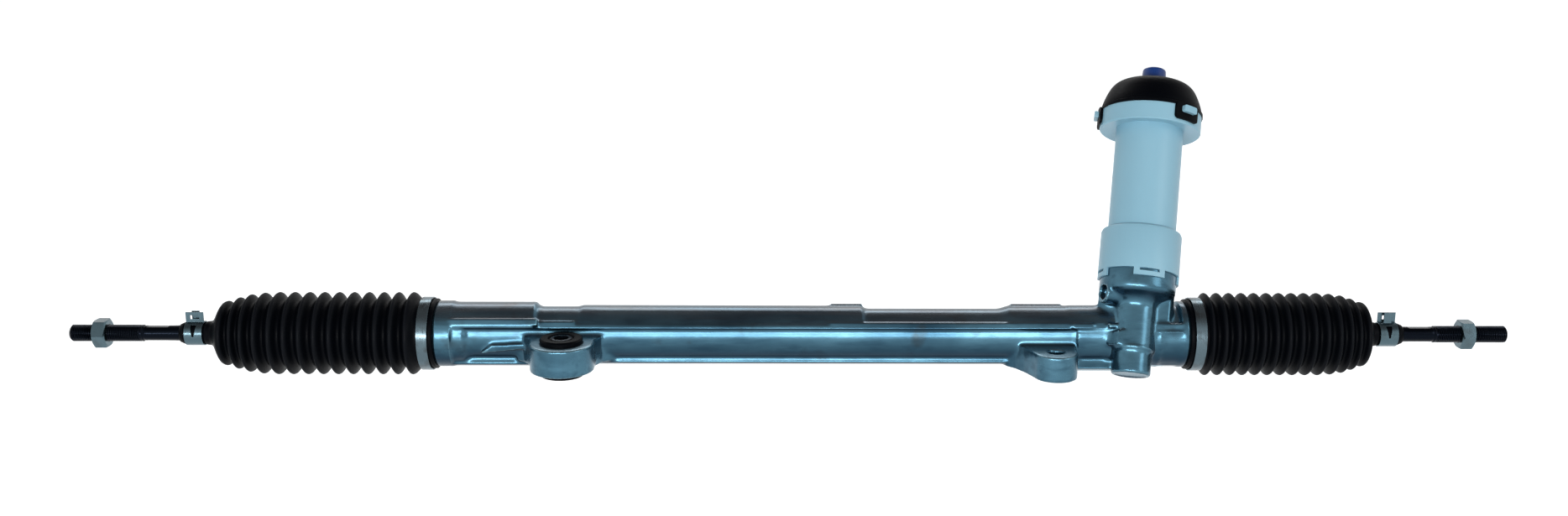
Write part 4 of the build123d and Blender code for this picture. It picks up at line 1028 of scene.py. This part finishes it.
@dataclass
class TieRod:
    """One tie rod with a rolled thread, and the lock nut on it."""

    side: Side
    line: RackLine
    finishes: Finishes
    length: float = 0.220
    thread_from: float = 0.160
    thread_radius: float = 0.0070
    thread_pitch: float = 0.0015
    thread_depth: float = 0.00085
    thread_core: float = 0.0066   # only points further out than this carry the thread
    thread_fade: float = 0.003
    tip_fade: float = 0.002
    tip_chamfer: float = 0.001
    tip_radius: float = 0.0056
    rings_per_turn: int = 8
    shank: float = 0.00715
    shank_from: float = 0.022
    shank_middle: float = 0.06
    neck: float = 0.0065
    neck_to: float = 0.017
    waist: float = 0.00635
    waist_from: float = 0.108
    waist_steps: int = 60
    waist_haste: float = 1.6      # how much sooner than the flats' end the waist is reached
    ball_radius: float = 0.0125
    ball_steps: int = 20
    flats: tuple[float, float] = (0.139, 0.157)
    flats_across: float = 0.0115
    segments: int = 64
    nut_rounding: float = 0.00018

    def profile(self) -> list[tuple[float, float]]:
        """Draws the rod's outline, closed along the axis.

        Returns:
            (along, radius) points from the back of the ball to the tip.
        """
        line: list[tuple[float, float]] = [(-self.ball_radius, 0.0)]
        neck_meets = math.sqrt(self.ball_radius ** 2 - self.neck ** 2)
        end_angle = math.atan2(self.neck, neck_meets)
        for k in range(1, self.ball_steps + 1):
            angle = math.pi - (math.pi - end_angle) * k / self.ball_steps
            line.append((self.ball_radius * math.cos(angle), self.ball_radius * math.sin(angle)))
        line += [(self.neck_to, self.neck), (self.shank_from, self.shank),
                 (self.shank_middle, self.shank), (self.waist_from, self.shank)]
        start, end = self.waist_from, self.flats[1] + 0.001
        for k in range(1, self.waist_steps + 1):
            share = min(1.0, k / self.waist_steps * self.waist_haste)
            ease = 0.5 - 0.5 * math.cos(math.pi * share)
            line.append((start + (end - start) * k / self.waist_steps,
                         self.shank - (self.shank - self.waist) * ease))
        line.append((self.thread_from - 0.0008, self.waist - 0.0002))
        span = self.length - self.tip_chamfer - self.thread_from
        rings = int(span / self.thread_pitch * self.rings_per_turn)
        line += [(self.thread_from + span * k / rings, self.thread_radius) for k in range(rings + 1)]
        line += [(self.length, self.tip_radius), (self.length, 0.0)]
        return line

    def cut_thread(self, bm: BMesh) -> None:
        """Rolls the helical thread into the plain end of the rod.

        Args:
            bm: The rod, along its own X axis.
        """
        for vertex in bm.verts:
            x, y, z = vertex.co
            radius = math.hypot(y, z)
            if x < self.thread_from or radius < self.thread_core or x > self.length - 0.0009:
                continue
            phase = (x / self.thread_pitch - math.atan2(z, y) / (2 * math.pi)) % 1.0
            groove = min(1.0, max(0.0, abs(phase - 0.5) * 2.6 - 0.15))
            share = (min(1.0, (x - self.thread_from) / self.thread_fade)
                     * min(1.0, (self.length - x) / self.tip_fade + 0.3))
            scale = (radius - self.thread_depth * groove * share) / radius
            vertex.co.y, vertex.co.z = y * scale, z * scale

    def press_flats(self, bm: BMesh) -> None:
        """Presses the two spanner flats into the shank.

        Args:
            bm: The rod, along its own X axis.
        """
        half = self.flats_across / 2
        start, end = self.flats
        for vertex in bm.verts:
            x, _, z = vertex.co
            if start - 1e-6 <= x <= end + 1e-6 and abs(z) > half:
                vertex.co.z = math.copysign(half, z)

    def build(self) -> None:
        """Makes the rod and its nut."""
        word = self.side.word
        bm = spun(self.profile(), Matrix.Identity(4), self.segments, close=False)
        self.cut_thread(bm)
        self.press_flats(bm)
        bmesh.ops.transform(bm, matrix=self.line.outward(self.side), verts=bm.verts[:])
        finish_object(f"{word}_rod", bm, rod_body(self.side), [self.finishes.black],
                      [f"{word}_tie_rod"], smooth_angle=50)
        node = f"{word}_rod_lock_nut"
        nut = finish_object(f"{word}_nut", hex_nut(node, self.line), rod_body(self.side),
                            [self.finishes.zinc], [node], smooth_angle=18)
        add_bevel(nut, self.nut_rounding)


# --- clamps
@dataclass
class Clamps:
    """The large steel band and the small spring clip of one side."""

    side: Side
    finishes: Finishes
    rounding: float = 0.0002
    smooth_angle: float = 30.0

    def build(self) -> None:
        """Dresses the band and the clip on one side."""
        word = self.side.word
        dressed_copy(f"{word}_band", f"{word}_boot_band", Body.HOUSING, self.finishes.band,
                     self.rounding, 2, self.smooth_angle)
        dressed_copy(f"{word}_clip", f"{word}_boot_clip", rod_body(self.side), self.finishes.zinc,
                     self.rounding, 2, self.smooth_angle)


# --- steering column seal
@dataclass
class ColumnSeal:
    """White dust tube, black rubber dome and blue spline cap on the pinion tower."""

    finishes: Finishes
    rounding: float = 0.0005
    cap_rounding: float = 0.0006

    def build(self) -> None:
        """Dresses the three pieces."""
        dressed_copy("white_tube", "dust_tube", Body.HOUSING, self.finishes.white,
                     self.rounding)
        dressed_copy("rubber_dome", "dust_seal", Body.HOUSING, self.finishes.rubber,
                     self.rounding)
        dressed_copy("blue_cap", "spline_cap", Body.PINION, self.finishes.blue,
                     self.cap_rounding)


# --- everything that keeps its solid
@dataclass
class PlainSolids:
    """Nodes whose solids are right as they are: they only get their finish."""

    finishes: Finishes

    def build(self) -> None:
        """Assigns each finish."""
        f = self.finishes
        seats = [f"{side.word}_ball_seat" for side in Side]
        sockets = [f"{side.word}_ball_socket" for side in Side]
        kept = (
            (f.rubber, ["mount_bush", "shaft_seal"]),
            (f.black, ["mount_sleeve", "bearing_retainer"]),
            (f.bearing, ["needle_bearing", "bearing_outer_race", "bearing_inner_race",
                         "bearing_balls"]),
            (f.natural, ["rack_bush", "bearing_cage", "yoke_liner", *seats]),
            (f.steel, ["pinion_shaft", "rack_bar", "yoke_spring", *sockets]),
            (f.yoke, ["support_yoke"]),
            (f.zinc, ["yoke_plug", "yoke_lock_nut"]),
        )
        for material, nodes in kept:
            for node in nodes:
                mesh = frame["nodes"][node].data
                mesh.materials.clear()
                mesh.materials.append(material)
                LOG.info("%s keeps its solid with %s", node, material.name)


# --- studio
@dataclass(frozen=True)
class Lamp:
    """A rectangular lamp: where it hangs, what it faces, its width, its height and its watts."""

    name: str
    place: Place
    aim: Place
    wide: float
    high: float
    power: float


@dataclass
class Studio:
    """Pale floor, soft lamps, the world and the camera."""

    camera_place: Place = (-0.021265, -1.2, 0.395352)
    camera_pitch: float = -13.878
    camera_yaw: float = -0.051
    camera_roll: float = 0.074
    lens: float = 35.708
    sensor: float = 36.0
    sight: float = 100.0
    lamps: tuple[Lamp, ...] = (
        Lamp("key", (-0.35, -1.9, 0.28), (0.0, 0.0, 0.05), 2.0, 0.34, 27.0),
        Lamp("fill", (1.5, -0.9, 0.7), (0.1, 0.0, 0.05), 0.5, 0.9, 4.0),
        Lamp("back", (0.0, 1.3, 1.2), (0.0, 0.0, 0.0), 1.8, 0.4, 9.0))
    floor_half: float = 12.0
    floor_back: float = 6.0
    floor_gap: float = 0.0006
    floor_colour: Colour = (0.80, 0.80, 0.80)
    floor_lift: float = 0.73
    room_colour: Colour = (0.92, 0.97, 1.0)
    room_light: float = 0.38
    ceiling: Colour = (0.24, 0.20, 0.19)
    ceiling_from: tuple[float, float] = (0.50, 0.85)

    def build(self) -> None:
        """Builds the whole studio."""
        self.add_floor()
        self.add_world()
        for lamp in self.lamps:
            self.add_lamp(lamp)
        self.add_camera()
        bpy.context.scene.view_settings.view_transform = "Standard"

    def add_floor(self) -> None:
        """A wide pale floor under the lowest reach of the tie rods, white but for the shadow."""
        level = min(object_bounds()[0][2], self.lowest_reach()) - self.floor_gap
        bm = bmesh.new()
        bmesh.ops.create_grid(bm, x_segments=1, y_segments=1, size=self.floor_half)
        bmesh.ops.translate(bm, vec=(0, self.floor_back, level), verts=bm.verts[:])
        floor = linked("floor", bm)
        floor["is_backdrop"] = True
        floor.data.materials.append(self.floor_paint())

    @staticmethod
    def lowest_reach() -> float:
        """Finds how low a tie rod comes when its joint is at its limit.

        Returns:
            The height of its lowest point.
        """
        lows = []
        for side in Side:
            swing = next(j for j in frame["joints"] if j["name"] == f"{side.word}_tie_rod_swing")
            low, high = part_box(f"{side.word}_tie_rod")
            nut_low, nut_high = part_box(f"{side.word}_rod_lock_nut")
            limit = math.radians(max(abs(end) for end in swing["range_deg"]))
            reach = max(abs(low.x - swing["pos_m"][0]), abs(high.x - swing["pos_m"][0]))
            thick = (nut_high.z - nut_low.z) / 2
            lows.append(swing["pos_m"][2] - reach * math.sin(limit) - thick * math.cos(limit))
        return min(lows)

    def floor_paint(self) -> Material:
        """Mixes a pale paint that keeps shadows, lifted to white for what is seen or mirrored.

        Returns:
            The floor's material.
        """
        material = bpy.data.materials.new("floor_paint")
        material.use_nodes = True
        tree = material.node_tree
        tree.nodes.clear()
        lift = add_node(tree, "Math", {0: self.seen_rays(tree), 1: self.floor_lift},
                        operation="MULTIPLY")
        paint = add_node(tree, "BsdfDiffuse", {"Color": (*self.floor_colour, 1)})
        glow = add_node(tree, "Emission", {"Color": (1, 1, 1, 1), "Strength": lift.outputs[0]})
        both = add_node(tree, "AddShader", {0: paint.outputs[0], 1: glow.outputs[0]})
        add_node(tree, "OutputMaterial", {"Surface": both.outputs[0]})
        return material

    @staticmethod
    def seen_rays(tree: NodeTree) -> NodeSocket:
        """Tells rays from the camera, off glossy surfaces or through clear ones from others.

        Args:
            tree: The node tree.

        Returns:
            One for such a ray, else zero.
        """
        rays = add_node(tree, "LightPath")
        total = rays.outputs["Is Camera Ray"]
        for kind in ("Is Glossy Ray", "Is Transmission Ray"):
            either = add_node(tree, "Math", {0: total, 1: rays.outputs[kind]}, operation="MAXIMUM")
            total = either.outputs[0]
        return total

    def add_world(self) -> None:
        """A soft grey room light, seen and mirrored as a white wall under a dim warm ceiling."""
        world = bpy.data.worlds.new("studio")
        bpy.context.scene.world = world
        world.use_nodes = True
        tree = world.node_tree
        soft = tree.nodes["Background"]
        soft.inputs["Color"].default_value = (*self.room_colour, 1)
        soft.inputs["Strength"].default_value = self.room_light
        sky = add_node(tree, "TexCoord").outputs["Generated"]
        height = add_node(tree, "SeparateXYZ", {0: sky}).outputs["Z"]
        wall_to, ceiling_at = self.ceiling_from
        wall = add_ramp(tree, height, ((wall_to, (1, 1, 1)), (ceiling_at, self.ceiling)))
        room = add_node(tree, "Background", {"Color": wall})
        choose = add_node(tree, "MixShader", {"Fac": self.seen_rays(tree), 1: soft.outputs[0],
                                              2: room.outputs[0]})
        tree.links.new(choose.outputs[0], tree.nodes["World Output"].inputs["Surface"])

    @staticmethod
    def add_lamp(lamp: Lamp) -> None:
        """Hangs a lamp and aims it.

        Args:
            lamp: The lamp.
        """
        light = bpy.data.lights.new(lamp.name, "AREA")
        light.shape = "RECTANGLE"
        light.size, light.size_y, light.energy = lamp.wide, lamp.high, lamp.power
        holder = bpy.data.objects.new(lamp.name, light)
        holder.location = lamp.place
        way = Vector(lamp.aim) - Vector(lamp.place)
        holder.rotation_euler = way.to_track_quat("-Z", "Y").to_euler()
        bpy.context.scene.collection.objects.link(holder)

    def add_camera(self) -> None:
        """Adds the camera."""
        camera = bpy.data.cameras.new("camera")
        camera.lens = self.lens
        camera.sensor_width = self.sensor
        camera.clip_end = self.sight
        holder = bpy.data.objects.new("camera", camera)
        turn = Matrix.Rotation(math.radians(self.camera_yaw), 4, "Z")
        turn = turn @ Matrix.Rotation(math.radians(90 + self.camera_pitch), 4, "X")
        turn = turn @ Matrix.Rotation(math.radians(self.camera_roll), 4, "Z")
        holder.matrix_world = Matrix.Translation(self.camera_place) @ turn
        bpy.context.scene.collection.objects.link(holder)
        bpy.context.scene.camera = holder


def main() -> None:
    """Builds every sub-assembly in order."""
    logging.basicConfig(level=logging.INFO, format="%(name)s %(message)s")
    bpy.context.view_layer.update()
    finishes = Finishes()
    line = RackLine()
    Housing(finishes).build()
    for side in Side:
        Boot(side, line, finishes).build()
        TieRod(side, line, finishes).build()
        Clamps(side, finishes).build()
    ColumnSeal(finishes).build()
    PlainSolids(finishes).build()
    Studio().build()


if __name__ == "__main__":
    main()
